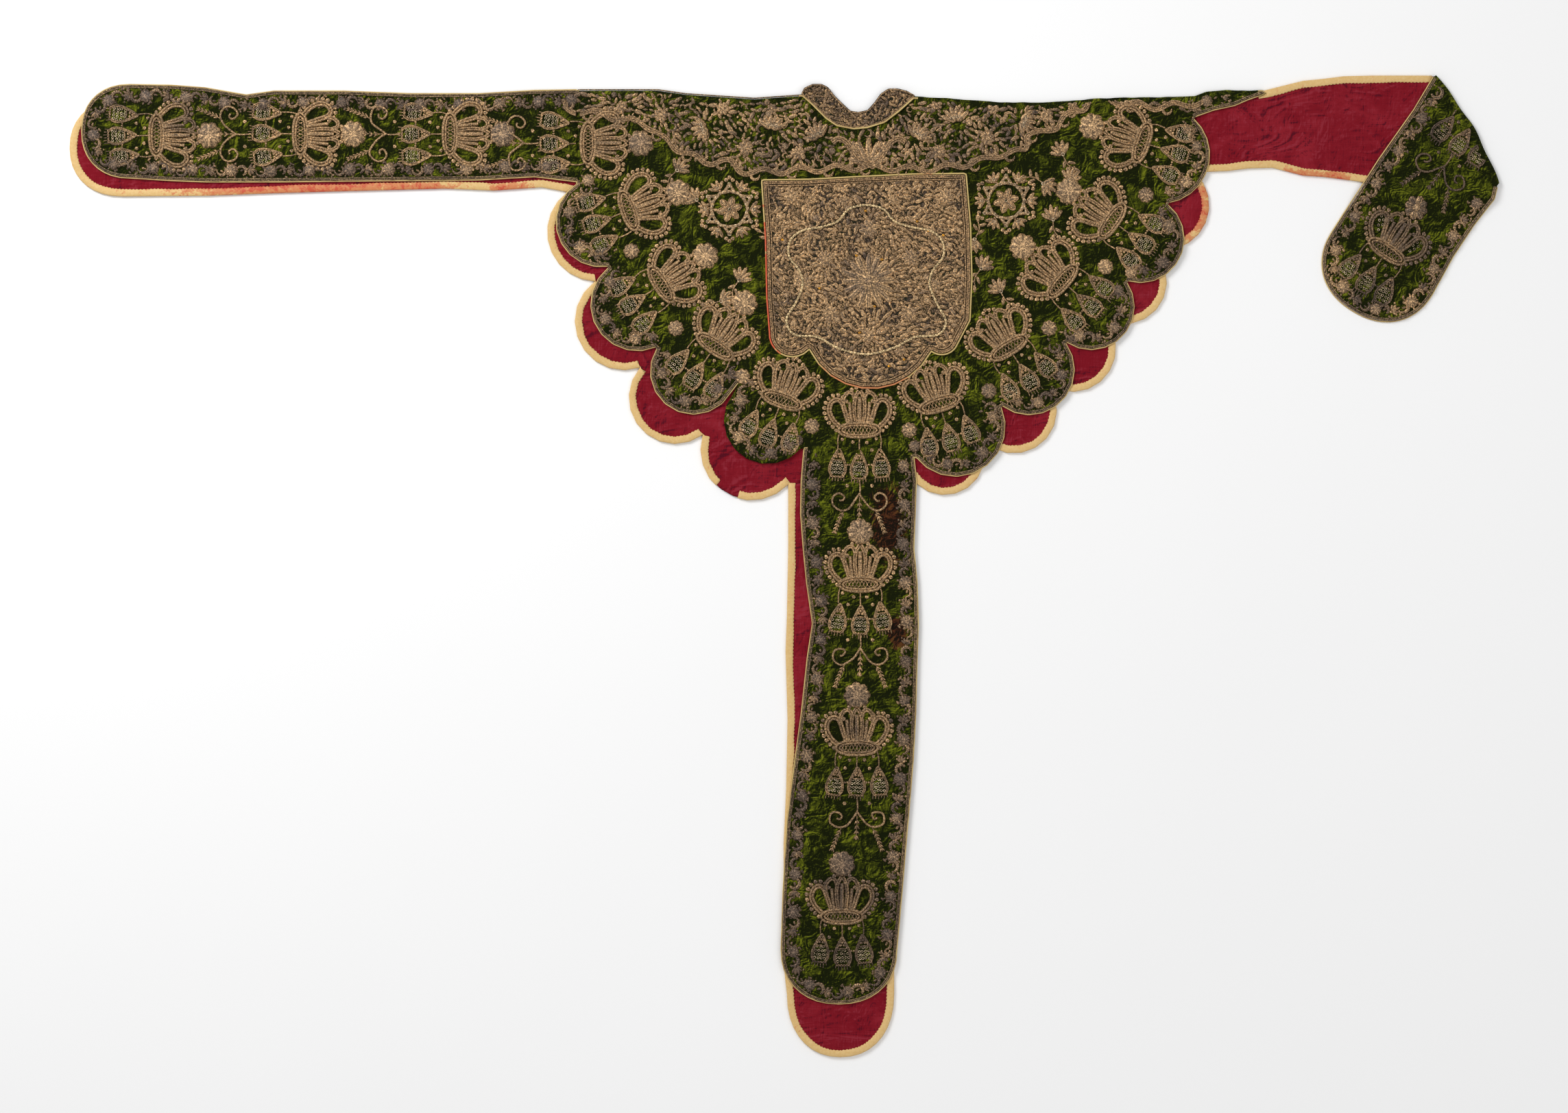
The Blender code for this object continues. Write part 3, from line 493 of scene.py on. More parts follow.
def crushed(x, y):
    """Share of the velvet's ridge height at each place: uneven ridges that bend and fade."""
    bent_x = x + 22 * value_noise(x / 30, y / 30, 11)
    bent_y = y + 22 * value_noise(x / 30, y / 30, 12)
    main = ridged(bent_x, bent_y, 25, 13) ** 4 * (0.3 + 1.1 * value_noise(x / 60, y / 60, 14))
    small = ridged(bent_x, bent_y, 11, 15) ** 3 * (0.25 + 0.9 * value_noise(x / 26, y / 26, 16))
    return np.clip(0.7 * main + 0.42 * small, 0, 1.1)


def creased(x, y):
    """Share of the lining's crease height: long wrinkles across soft swells, sharp here and there."""
    bent_x = x + 30 * value_noise(x / 50, y / 50, 20)
    bent_y = y + 22 * value_noise(x / 70, y / 45, 21)
    long = ridged(bent_x / 2.6, bent_y, 30, 22) ** 6 * (0.2 + value_noise(x / 50, y / 50, 26))
    cross = ridged(bent_x + 0.5 * y, bent_y / 2.0, 42, 24) ** 8 * value_noise(x / 45, y / 45, 27)
    swell = value_noise(x / 55, y / 32, 25)
    return np.clip(0.75 * long + 0.55 * cross + 0.35 * swell, 0, 1.1)


def settled(x, y):
    """How far the turned end has sunk at each place, in millimetres."""
    start, end = np.array(LOWER_EDGE, float)
    down = np.array([end[1] - start[1], start[0] - end[0]]) / np.linalg.norm(end - start)
    share = np.clip(((x - start[0]) * down[0] + (y - start[1]) * down[1] - SETTLE_START) / SETTLE_LENGTH, 0, 1)
    return SETTLE_DROP * share * share * (3 - 2 * share)


def velvet_swell(x, y):
    """Height of the velvet's ridges, in millimetres."""
    return bpy.context.scene.stole_cloth.ridge_height / MM * crushed(x, y)


def front_swell(x, y):
    """The front velvet's ridges, pressed flat under the breast panel."""
    points = np.column_stack([np.ravel(x), np.ravel(y)])
    outline = resampled(node_outline("breast_panel"), 6.0, True)
    free = np.where(inside(points, outline), 0.0, np.clip(distance_to(points, outline) / PRESSED_EDGE, 0, 1))
    return velvet_swell(x, y) * free.reshape(np.shape(x))


def front_top(x, y):
    return FRONT_VELVET[1] + front_swell(x, y)


def flap_top(x, y):
    return FOLD_HEIGHT + VELVET_TURN + 0.7 - settled(x, y) + velvet_swell(x, y)


def panel_top(x, y):
    return PANEL[1] + 0.3 * value_noise(x / 30, y / 30, 31)


def collar_top(x, y):
    return COLLAR[1] + 0.5 * value_noise(x / 14, y / 14, 32)


# ---- Meshes ----

def new_piece(name, vertices, faces, material, attributes=None):
    """A piece from points in the cut's millimetres, riding on the garment."""
    points = np.asarray(vertices, float).copy()
    points[:, :2] += SHIFT
    mesh = bpy.data.meshes.new(name)
    mesh.from_pydata(points * MM, [], faces)
    for title, values in (attributes or {}).items():
        mesh.attributes.new(title, "FLOAT", "POINT").data.foreach_set("value", np.asarray(values, np.float32))
    mesh.polygons.foreach_set("use_smooth", np.ones(len(mesh.polygons), bool))
    mesh.materials.append(material)
    mesh.update()
    piece = bpy.data.objects.new(name, mesh)
    bpy.context.scene.collection.objects.link(piece)
    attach(piece, "root")
    return piece


def fill(outline, pitch, extra=()):
    """Even triangles inside an outline: points, triangles, and how many points lie on the edge."""
    edge = resampled(outline, pitch, closed=True)
    low, high = edge.min(axis=0), edge.max(axis=0)
    rows = np.arange(low[1], high[1], pitch * 0.87)
    grid = np.array([(x + (index % 2) * pitch / 2, y) for index, y in enumerate(rows)
                     for x in np.arange(low[0], high[0], pitch)])
    if len(extra):
        extra = np.asarray(extra, float)
        extra = extra[inside(extra, edge) & (distance_to(extra, edge) > 0.4)]
        nearness = np.min(np.abs(grid[:, :1] - np.unique(extra[:, 0])), axis=1)
        grid = grid[nearness > 0.6 * pitch]
    grid = grid[inside(grid, edge)]
    grid = grid[distance_to(grid, edge) > 0.55 * pitch]
    points = np.vstack([edge] + ([extra] if len(extra) else []) + [grid])
    ring = list(range(len(edge)))
    made, _, faces, origins, _, owners = delaunay_2d_cdt([Vector(p) for p in points], [], [ring], 1, 1e-4)
    faces = [face for face, owner in zip(faces, owners) if owner]
    place = np.array([(v.x, v.y) for v in made])
    links = {}
    for face in faces:
        for a, b in zip(face, face[1:] + face[:1]):
            links[(a, b)] = True
    rim = [(a, b) for a, b in links if (b, a) not in links]
    used = sorted({index for face in faces for index in face})
    order = {index: position for position, index in enumerate(used)}
    faces = [[order[index] for index in face] for face in faces]
    rim = [(order[a], order[b]) for a, b in rim]
    return place[used], faces, rim


def shell(name, outline, layer, swell, share, material, pitch, shape=None, extra=(), node=None):
    """A closed sheet of cloth on an outline. shape places a flat point in space at a depth."""
    points, faces, rim = fill(outline, pitch, extra)
    low, high = layer
    if shape is None:
        rise = swell(points[:, 0], points[:, 1])
        top = np.column_stack([points, high + rise])
        bottom = np.column_stack([points, low + rise * 0.6])
    else:
        top, bottom = shape(points)
        rise = swell(top[:, 0], top[:, 1])
    count = len(points)
    closed = list(faces) + [[index + count for index in reversed(face)] for face in faces]
    closed += [(b, a, a + count, b + count) for a, b in rim]
    level = share(top[:, 0], top[:, 1])
    piece = new_piece(name, np.vstack([top, bottom]), closed, material, {"ridge": np.tile(level, 2)})
    for polygon in piece.data.polygons[2 * len(faces):]:
        polygon.use_smooth = False
    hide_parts(node or name.replace("_cloth", ""))
    area = sum(abs(np.cross(points[b] - points[a], points[c] - points[a])) / 2 for a, b, c in faces)
    size = outline.max(axis=0) - outline.min(axis=0)
    piece["cut"] = [float(size[0] * MM), float(size[1] * MM), float(area * MM * MM)]
    return piece


def strip(name, line, closed, section, material, attributes=None, wobble=None):
    """A closed band swept along a line: section rows are inset from the line and height."""
    line = np.asarray(line, float)
    rows, width = len(line), len(section)
    ways = beside(line, 1.0, closed) - line
    insets = np.array([inset for inset, _ in section])
    heights = np.array([height for _, height in section])
    across = np.tile(insets, (rows, 1))
    levels = np.tile(heights, (rows, 1))
    if wobble is not None:
        across, levels = wobble(line, across, levels)
    points = np.empty((rows, width, 3))
    points[:, :, :2] = line[:, None, :] + ways[:, None, :] * across[:, :, None]
    points[:, :, 2] = levels
    faces = []
    for row in range(rows if closed else rows - 1):
        following = (row + 1) % rows
        for column in range(width):
            beyond = (column + 1) % width
            faces.append((row * width + column, following * width + column,
                          following * width + beyond, row * width + beyond))
    if not closed:
        faces.append(list(range(width)))
        faces.append([(rows - 1) * width + column for column in reversed(range(width))])
    flat = points.reshape(-1, 3)
    made = {title: values(flat) for title, values in (attributes or {}).items()}
    return new_piece(name, flat, faces, material, made)


# ---- Geometry Nodes: couched threads along lines, and motifs on points ----

def add_socket(tree, title, kind, default=None):
    socket = tree.interface.new_socket(title, in_out="INPUT", socket_type=kind)
    if default is not None:
        socket.default_value = default
    return socket.identifier


def named_attribute(tree, title, kind):
    node = tree.nodes.new("GeometryNodeInputNamedAttribute")
    node.data_type = kind
    node.inputs["Name"].default_value = title
    return node.outputs["Attribute"]


def couching_tree():
    """A tree that makes a tube along each line, as thick as the line's own radius says."""
    tree = bpy.data.node_groups.new("couched_thread", "GeometryNodeTree")
    add_socket(tree, "Geometry", "NodeSocketGeometry")
    sides = add_socket(tree, "Sides", "NodeSocketInt", 5)
    scale = add_socket(tree, "Radius Scale", "NodeSocketFloat", 1.0)
    coat = add_socket(tree, "Material", "NodeSocketMaterial")
    tree.interface.new_socket("Geometry", in_out="OUTPUT", socket_type="NodeSocketGeometry")
    nodes, link = tree.nodes, tree.links.new
    start, end = nodes.new("NodeGroupInput"), nodes.new("NodeGroupOutput")
    lines = nodes.new("GeometryNodeMeshToCurve")
    thick = nodes.new("GeometryNodeSetCurveRadius")
    along = nodes.new("GeometryNodeSplineParameter")
    keep = nodes.new("GeometryNodeStoreNamedAttribute")
    keep.data_type, keep.domain = "FLOAT", "POINT"
    keep.inputs["Name"].default_value = "along"
    profile = nodes.new("GeometryNodeCurvePrimitiveCircle")
    sweep = nodes.new("GeometryNodeCurveToMesh")
    sweep.inputs["Fill Caps"].default_value = True
    real = nodes.new("GeometryNodeRealizeInstances")
    paint = nodes.new("GeometryNodeSetMaterial")
    link(start.outputs["Geometry"], lines.inputs["Mesh"])
    link(lines.outputs["Curve"], thick.inputs["Curve"])
    link(named_attribute(tree, "radius", "FLOAT"), thick.inputs["Radius"])
    link(thick.outputs["Curve"], keep.inputs["Geometry"])
    link(along.outputs["Length"], keep.inputs["Value"])
    link(keep.outputs["Geometry"], sweep.inputs["Curve"])
    link(start.outputs["Sides"], profile.inputs["Resolution"])
    link(start.outputs["Radius Scale"], profile.inputs["Radius"])
    link(profile.outputs["Curve"], sweep.inputs["Profile Curve"])
    if "Scale" in sweep.inputs:
        link(named_attribute(tree, "radius", "FLOAT"), sweep.inputs["Scale"])
    link(sweep.outputs["Mesh"], real.inputs["Geometry"])
    link(real.outputs["Geometry"], paint.inputs["Geometry"])
    link(start.outputs["Material"], paint.inputs["Material"])
    link(paint.outputs["Geometry"], end.inputs["Geometry"])
    return tree, {"sides": sides, "scale": scale, "material": coat}


def scatter_tree():
    """A tree that sets a copy of one motif on each point, by the point's own turn and size."""
    tree = bpy.data.node_groups.new("sewn_motifs", "GeometryNodeTree")
    add_socket(tree, "Geometry", "NodeSocketGeometry")
    shape = add_socket(tree, "Motif", "NodeSocketObject")
    coat = add_socket(tree, "Material", "NodeSocketMaterial")
    tree.interface.new_socket("Geometry", in_out="OUTPUT", socket_type="NodeSocketGeometry")
    nodes, link = tree.nodes, tree.links.new
    start, end = nodes.new("NodeGroupInput"), nodes.new("NodeGroupOutput")
    source = nodes.new("GeometryNodeObjectInfo")
    place = nodes.new("GeometryNodeInstanceOnPoints")
    turn = nodes.new("FunctionNodeEulerToRotation")
    real = nodes.new("GeometryNodeRealizeInstances")
    paint = nodes.new("GeometryNodeSetMaterial")
    link(start.outputs["Geometry"], place.inputs["Points"])
    link(start.outputs["Motif"], source.inputs["Object"])
    link(source.outputs["Geometry"], place.inputs["Instance"])
    link(named_attribute(tree, "turn", "FLOAT_VECTOR"), turn.inputs["Euler"])
    link(turn.outputs["Rotation"], place.inputs["Rotation"])
    link(named_attribute(tree, "size", "FLOAT_VECTOR"), place.inputs["Scale"])
    link(place.outputs["Instances"], real.inputs["Geometry"])
    link(real.outputs["Geometry"], paint.inputs["Geometry"])
    link(start.outputs["Material"], paint.inputs["Material"])
    link(paint.outputs["Geometry"], end.inputs["Geometry"])
    return tree, {"motif": shape, "material": coat}


def baked(piece, tree, values):
    """The piece with the tree's result as its own plain mesh."""
    modifier = piece.modifiers.new("sewing", "NODES")
    modifier.node_group = tree
    for socket, value in values.items():
        modifier[socket] = value
    bpy.context.view_layer.update()
    graph = bpy.context.evaluated_depsgraph_get()
    mesh = bpy.data.meshes.new_from_object(piece.evaluated_get(graph), preserve_all_data_layers=True,
                                           depsgraph=graph)
    piece.modifiers.remove(modifier)
    piece.data = mesh
    return piece


def draped(piece, ground):
    """Move the piece's points up by the height of the cloth under each."""
    mesh = piece.data
    points = np.empty(len(mesh.vertices) * 3)
    mesh.vertices.foreach_get("co", points)
    points = points.reshape(-1, 3)
    cut = points[:, :2] / MM - SHIFT
    points[:, 2] += ground(cut[:, 0], cut[:, 1]) * MM
    mesh.vertices.foreach_set("co", points.ravel())
    mesh.polygons.foreach_set("use_smooth", np.ones(len(mesh.polygons), bool))
    mesh.update()


# ---- Motif shapes: each a few faces, one unit long or wide ----

def ringed(centre, rings, count, along, edge):
    """A dome from its centre out through rings of points, with a flat underside."""
    points, faces = [centre], []
    for radii, height in rings:
        points += [(radii[step] * math.cos(step * math.tau / count), radii[step] * math.sin(step * math.tau / count),
                    height) for step in range(count)]
    for step in range(count):
        beyond = (step + 1) % count
        faces.append((0, 1 + step, 1 + beyond))
        for ring in range(len(rings) - 1):
            low, high = 1 + ring * count, 1 + (ring + 1) * count
            faces.append((low + step, high + step, high + beyond, low + beyond))
    faces.append([len(points) - count + step for step in reversed(range(count))])
    return points, faces, along, edge


def knot_shape():
    """A round knot: a low dome of six sides."""
    rings = (([0.62] * 6, 0.6), ([1.0] * 6, 0.0))
    return ringed((0, 0, 0.75), rings, 6, [0.5] + [0, 1] * 6, [0.1] + [0.4] * 6 + [1.0] * 6)


def rosette_shape(lobes=8):
    """A low domed flower: rounded lobes, worked in threads that run out from its middle."""
    count = 3 * lobes
    notch = [step % 3 == 0 for step in range(count)]
    rings = (
        ([0.28] * count, 0.95),
        ([0.68 if low else 0.76 for low in notch], 0.75),
        ([0.88 if low else 1.0 for low in notch], 0.0),
    )
    along = [0.5] + [step % 2 for step in range(count)] * 3
    edge = [0.9] + [0.3] * count + [0.5 if low else 0.1 for low in notch] + [1.0 if low else 0.62 for low in notch]
    return ringed((0, 0, 0.8), rings, count, along, edge)


def spangle_shape(count=7):
    """A ring spangle: a square hoop of seven sides."""
    points, faces = [], []
    for step in range(count):
        angle = step * math.tau / count
        points += [(radius * math.cos(angle), radius * math.sin(angle), height)
                   for radius, height in ((1.0, 0.0), (0.8, 0.45), (0.5, 0.0))]
        for side in range(3):
            beyond, following = (step + 1) % count, (side + 1) % 3
            faces.append((step * 3 + side, beyond * 3 + side, beyond * 3 + following, step * 3 + following))
    return points, faces, [0.0] * len(points), [0.0] * len(points)


def petal_shape(sides=8):
    """A leaf from its root to its tip along +X, with a ridge down its middle."""
    points = []
    for step in range(sides):
        angle = math.tau * step / sides
        reach = 0.5 - 0.5 * math.cos(angle)
        points.append((reach, math.sin(angle) * 0.5 * (1.0 - 0.35 * (reach - 0.62)), 0.0))
    points += [(0.2, 0, 0.75), (0.5, 0, 1.0), (0.82, 0, 0.7)]
    half = sides // 2
    faces = [list(reversed(range(sides)))]
    for step in range(sides):
        beyond = (step + 1) % sides
        nearest = [min(2, int(3 * (points[place][0]))) for place in (step, beyond)]
        first, last = sides + nearest[0], sides + nearest[1]
        faces.append((step, beyond, last))
        if first != last:
            faces.append((step, last, first))
    along = [point[1] * STITCH_ROWS for point in points]
    return points, faces, along, [1.0] * sides + [0.0] * 3


def curl_shape(way=1, steps=9):
    """A fat scroll leaf: a band that swells along two thirds of a turn."""
    points, faces, along, edge = [], [], [], []
    for step in range(steps):
        share = step / (steps - 1)
        angle = way * math.radians(-60 + 250 * share)
        half = 0.05 + 0.27 * math.sin(math.pi * (0.12 + 0.86 * share)) ** 0.8
        radius = 0.62 + 0.16 * share
        for reach, height, rim in ((radius - half, 0.0, 1.0), (radius, 1.0, 0.0), (radius + half, 0.0, 1.0)):
            points.append((reach * math.cos(angle), reach * math.sin(angle), height))
            along.append(share * 12)
            edge.append(rim)
        if step:
            low, high = 3 * step - 3, 3 * step
            for side in range(3):
                following = (side + 1) % 3
                faces.append((low + side, high + side, high + following, low + following))
    faces += [(0, 1, 2), (3 * steps - 1, 3 * steps - 2, 3 * steps - 3)]
    if way < 0:
        faces = [tuple(reversed(face)) for face in faces]
    return points, faces, along, edge


STITCH_ROWS = 5.0          # rows of thread across a petal
# The edge values run from 0 on a shape's crest to 1 at its rim; the rimmed thread finish turns them into a painted
# highlight on the band inside the rim and painted shade at the rim, in the rosette's notches and at its middle.
MOTIF_SHAPES = {
    "knot": knot_shape, "spangle": spangle_shape, "petal": petal_shape, "rosette": rosette_shape,
    "curl": curl_shape, "left_curl": lambda: curl_shape(-1),
}


class Sewing:
    """Threads and motifs gathered for one stretch of embroidery, then made into pieces."""

    def __init__(self, seed):
        self.threads = []
        self.spots = {kind: [] for kind in MOTIF_SHAPES}
        self.random = np.random.default_rng(seed)

    def thread(self, points, radius=None, lift=0.0, tone=0.5, closed=False, taper=False):
        self.threads.append((np.asarray(points, float), radius, lift, tone, closed, taper))

    def spot(self, kind, x, y, turn=0.0, length=4.0, width=4.0, height=2.0, lift=0.0, tone=0.5):
        self.spots[kind].append((x, y, lift, math.radians(turn), length, width, height, tone))

    def clip(self, *outlines):
        """Leave only what lies inside one of the outlines, from root to tip."""
        def within(points):
            points = np.asarray(points, float)
            return np.any([inside(points, outline) for outline in outlines], axis=0)

        for kind, rows in self.spots.items():
            if rows:
                data = np.array(rows)
                turns = (0,) if kind == "petal" else (0, math.pi / 2, math.pi, -math.pi / 2)
                kept = within(data[:, :2])
                for turn in turns:
                    way = np.column_stack([np.cos(data[:, 3] + turn), np.sin(data[:, 3] + turn)])
                    kept &= within(data[:, :2] + data[:, 4:5] * way)
                self.spots[kind] = [row for row, keep in zip(rows, kept) if keep]
        ends = np.cumsum([len(line) for line, *_ in self.threads])[:-1]
        flags = np.split(within(np.vstack([line for line, *_ in self.threads])), ends) if self.threads else []
        runs = []
        for (line, radius, lift, tone, closed, taper), kept in zip(self.threads, flags):
            if kept.all():
                runs.append((line, radius, lift, tone, closed, taper))
                continue
            breaks = np.flatnonzero(np.diff(kept.astype(int))) + 1
            for part, keep in zip(np.split(line, breaks), np.split(kept, breaks)):
                if keep[0] and len(part) > 1:
                    runs.append((part, radius, lift, tone, False, taper))
        self.threads = runs
        return self

    def make(self, title, ground, threads_material, motifs_material, spangles_material):
        """The gathered work as pieces draped on the ground, which gives the cloth's height."""
        made = []
        if self.threads:
            made.append(self.make_threads(title + "_threads", ground, threads_material))
        for kind, rows in self.spots.items():
            if rows:
                coat = spangles_material if kind == "spangle" else motifs_material
                made.append(self.make_spots(title + "_" + kind + "s", kind, rows, ground, coat))
        return made

    def make_threads(self, name, ground, material):
        usual = bpy.context.scene.stole_threads.thread_radius / MM
        points, edges, radii, tones = [], [], [], []
        for line, radius, lift, tone, closed, taper in self.threads:
            radius = radius or usual
            first = len(points)
            shares = np.linspace(0, 1, len(line))
            for place, share in zip(line, shares):
                thickness = radius * (1 - 0.65 * share) if taper else radius
                points.append(((place[0] + SHIFT[0]) * MM, (place[1] + SHIFT[1]) * MM, (lift + 0.7 * radius) * MM))
                radii.append(thickness * MM)
                tones.append(tone)
            edges += [(first + step, first + step + 1) for step in range(len(line) - 1)]
            if closed:
                edges.append((len(points) - 1, first))
        mesh = bpy.data.meshes.new(name)
        mesh.from_pydata(points, edges, [])
        mesh.attributes.new("radius", "FLOAT", "POINT").data.foreach_set("value", np.array(radii, np.float32))
        mesh.attributes.new("tone", "FLOAT", "POINT").data.foreach_set("value", np.array(tones, np.float32))
        piece = bpy.data.objects.new(name, mesh)
        bpy.context.scene.collection.objects.link(piece)
        tree, sockets = TREES["couching"]
        baked(piece, tree, {sockets["sides"]: 4, sockets["scale"]: 1.0, sockets["material"]: material})
        draped(piece, ground)
        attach(piece, "root")
        return piece

    def make_spots(self, name, kind, rows, ground, material):
        points, faces, along, edge = MOTIF_SHAPES[kind]()
        shape = bpy.data.meshes.new(kind + "_shape")
        shape.from_pydata(points, [], faces)
        for title, values in (("along", along), ("edge", edge)):
            shape.attributes.new(title, "FLOAT", "POINT").data.foreach_set("value", np.array(values, np.float32))
        upright = bmesh.new()
        upright.from_mesh(shape)
        bmesh.ops.recalc_face_normals(upright, faces=upright.faces)
        upright.to_mesh(shape)
        upright.free()
        template = bpy.data.objects.new(kind + "_shape", shape)
        bpy.context.scene.collection.objects.link(template)
        data = np.array(rows)
        mesh = bpy.data.meshes.new(name)
        places = data[:, :3].copy()
        places[:, :2] += SHIFT
        mesh.from_pydata(places * MM, [], [])
        turns = np.zeros((len(data), 3))
        turns[:, 2] = data[:, 3]
        mesh.attributes.new("turn", "FLOAT_VECTOR", "POINT").data.foreach_set("vector", turns.ravel())
        mesh.attributes.new("size", "FLOAT_VECTOR", "POINT").data.foreach_set("vector", (data[:, 4:7] * MM).ravel())
        mesh.attributes.new("tone", "FLOAT", "POINT").data.foreach_set("value", data[:, 7].astype(np.float32))
        piece = bpy.data.objects.new(name, mesh)
        bpy.context.scene.collection.objects.link(piece)
        tree, sockets = TREES["scatter"]
        baked(piece, tree, {sockets["motif"]: template, sockets["material"]: material})
        bpy.data.objects.remove(template)
        draped(piece, ground)
        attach(piece, "root")
        return piece


class Motif:
    """A motif's own frame on the cloth: what is sewn through it lands turned and placed."""

    def __init__(self, sewing, x, y, turn=0.0, size=1.0, tone=0.5):
        self.sewing, self.middle, self.turn, self.size, self.tone = sewing, np.array([x, y], float), turn, size, tone
        cosine, sine = math.cos(math.radians(turn)), math.sin(math.radians(turn))
        self.axes = np.array([[cosine, sine], [-sine, cosine]])

    def placed(self, points):
        return self.middle + self.size * np.asarray(points, float) @ self.axes

    def thread(self, points, radius=None, lift=0.0, closed=False, taper=False, tone=0.0):
        tone = self.tone + tone + self.sewing.random.normal(0, 0.06)
        self.sewing.thread(self.placed(points), radius, lift, tone, closed, taper)

    def spot(self, kind, x, y, turn=0.0, length=4.0, width=4.0, height=2.0, lift=0.0, tone=0.0):
        place = self.placed([(x, y)])[0]
        size, chance = self.size, self.sewing.random
        self.sewing.spot(kind, place[0], place[1], self.turn + turn, length * size, width * size, height, lift,
                         self.tone + tone + chance.normal(0, 0.1))

    def knot(self, x, y, radius=4.2, height=2.6, lift=0.0, tone=0.0):
        self.spot("knot", x, y, self.sewing.random.uniform(0, 60), radius, radius, height, lift, tone)

    def spangle(self, x, y, radius=2.3, lift=0.5):
        self.spot("spangle", x, y, self.sewing.random.uniform(0, 45), radius, radius, 1.8, lift, 0.3)

    def leaf(self, x, y, turn, length, width, height=1.6, lift=0.0, tone=0.0):
        self.spot("petal", x, y, turn, length, width, height, lift, tone)

    def sub(self, x, y, turn=0.0, size=1.0, tone=0.0):
        place = self.placed([(x, y)])[0]
        return Motif(self.sewing, place[0], place[1], self.turn + turn, self.size * size, self.tone + tone)


def mirrored(points):
    return [(x, -y) for x, y in points]


def sew_rosette(at, radius, height=2.2, lift=0.0, tone=0.0):
    """A flat pompom of threads that run out to rounded lobes."""
    at.spot("rosette", 0, 0, at.sewing.random.uniform(0, 45), radius, radius, height, lift, tone)


def sew_flower(at, radius, petals, height=1.7):
    """A flat flower of broad outlined petals round a rosette."""
    chance = at.sewing.random
    width = 2.2 * radius * math.sin(math.pi / petals)
    for step in range(petals):
        angle = 360 * step / petals + chance.uniform(-3, 3)
        at.leaf(0, 0, angle, radius * chance.uniform(0.93, 1.05), width, height, 0.5, chance.uniform(-0.1, 0.1))
    sew_rosette(at, radius * 0.34, height, 1.2, 0.15)


def sew_crown(at, filled=False):
    """A crown in padded purl: a latticed base, two ears, two loops and a ribbed lobe."""
    half_length, half_width = CROWN_BASE
    for inset, radius in ((0.0, 2.3), (3.8, 1.8)):
        at.thread(lens(half_length - inset * 1.4, half_width - inset), radius, 0.6, closed=True, tone=0.1)
    for shift in np.arange(-22, 23, 5.5):
        reach = (half_width - 5.4) * math.sqrt(max(0.1, 1 - (shift / half_length) ** 2))
        at.thread([(-reach, shift - 2.6), (reach, shift + 2.6)], 0.75, 0.1)
        at.thread([(reach, shift - 2.6), (-reach, shift + 2.6)], 0.75, 0.6)
    for side in (1, -1):
        ear = flow([(x, y * side) for x, y in CROWN_EAR])
        for inset in (-2.0, 2.0):
            at.thread(beside(ear, inset), 2.1, 0.5, tone=0.1)
        for outline in (CROWN_LOOP, CROWN_LOBE):
            loop = flow([(x, y * side) for x, y in outline])
            for inset in (-1.6, 1.6):
                at.thread(beside(loop, inset), 1.8, 0.5, tone=0.1)
        for rib in CROWN_RIBS:
            at.thread(flow([(x, y * side) for x, y in rib]), 2.6, 0.9, tone=0.05)
        rim = resampled(beside(ear, 7.4 * side), 8.3)
        for place in rim[:EAR_KNOTS]:
            at.spot("knot", place[0], place[1], at.sewing.random.uniform(0, 90), 4.3, 3.8, 3.0)
        at.knot(57, 19 * side, 3.6, 2.8)
        at.knot(62, 12 * side, 3.8, 2.8)
        at.knot(65, 5 * side, 3.8, 2.8)
        if filled:
            for x, y in ((20, 29), (26, 33), (30, 28), (33, 36), (37, 31), (40, 37)):
                at.spangle(x, y * side)
    at.knot(68, 0, 3.4, 2.8)


def sew_tassel(at):
    """A bell of threads round ring spangles, with a knotted cap and a fringe."""
    for side, line in ((1, BELL), (-1, mirrored(BELL))):
        bell = flow(line, 2.8)
        at.thread(bell, 1.3, 0.5)
        at.thread(beside(bell, 2.1 * side)[2:], 1.05, 0.3)
    at.thread(flow([(7, -9), (3, -5), (4, 0), (3, 5), (7, 9)], 3), 1.1, 0.4)
    for x, y in CAP_KNOTS:
        at.knot(x, y, 2.5, 2.4, 0.3)
    for x, y in BELL_SPANGLES:
        at.spangle(x + at.sewing.random.normal(0, 0.4), y + at.sewing.random.normal(0, 0.4))
    foot = [(-20.5 - 2.6 * (step % 2), (step - 5) * 2.1) for step in range(11)]
    at.thread(flow(foot, 2.2), 1.25, 0.5)
    for y in FRINGE:
        end = -29 + abs(y) * 0.2 + at.sewing.random.uniform(-2.5, 1.5)
        at.thread([(-22, y), (end, y * 1.08)], 0.8, 0.1, tone=-0.2)


def sew_tassels(at):
    """Three tassels hung from a crown's base, with the bars and dots between them."""
    chance = at.sewing.random
    for index, (x, y, turn) in enumerate(TASSELS):
        x, y = x + chance.uniform(-1.5, 1.5), y + chance.uniform(-1, 1)
        swing = -turn + chance.uniform(-3, 3)
        side = (y > 5) - (y < -5)
        start = (-3, 30 * side) if side else (-9, 0)
        top = (x + 22, y)
        at.thread(flow([start, (-14, 33 * side), top] if side else [start, top], 2.5), 1.15, 0.3)
        sew_tassel(at.sub(x, y, swing))
    for side in (1, -1):
        for step in (14.5, 18.5):
            at.knot(-53, step * side, 2.0, 2.0)
    for x, y in TASSEL_DOTS:
        at.knot(x + chance.uniform(-1, 1), y + chance.uniform(-1, 1), 3.3, 2.4)


def sew_fern(at, line, leaves=6, size=1.0):
    """Leaflets in pairs down a stem."""
    stem = flow(line, 2.5)
    at.thread(stem, 0.8, 0.2)
    places = resampled(stem, max(4.2, len(stem) * 2.5 / leaves))
    ways = np.degrees(np.arctan2(*np.diff(places, axis=0)[:, ::-1].T))
    for place, way in zip(places[1:], ways):
        for side in (1, -1):
            at.leaf(place[0], place[1], way + side * 32, 7.4 * size, 2.9 * size, 1.6, 0.2)
    at.leaf(places[-1][0], places[-1][1], ways[-1], 6 * size, 2.4 * size, 1.3, 0.2)


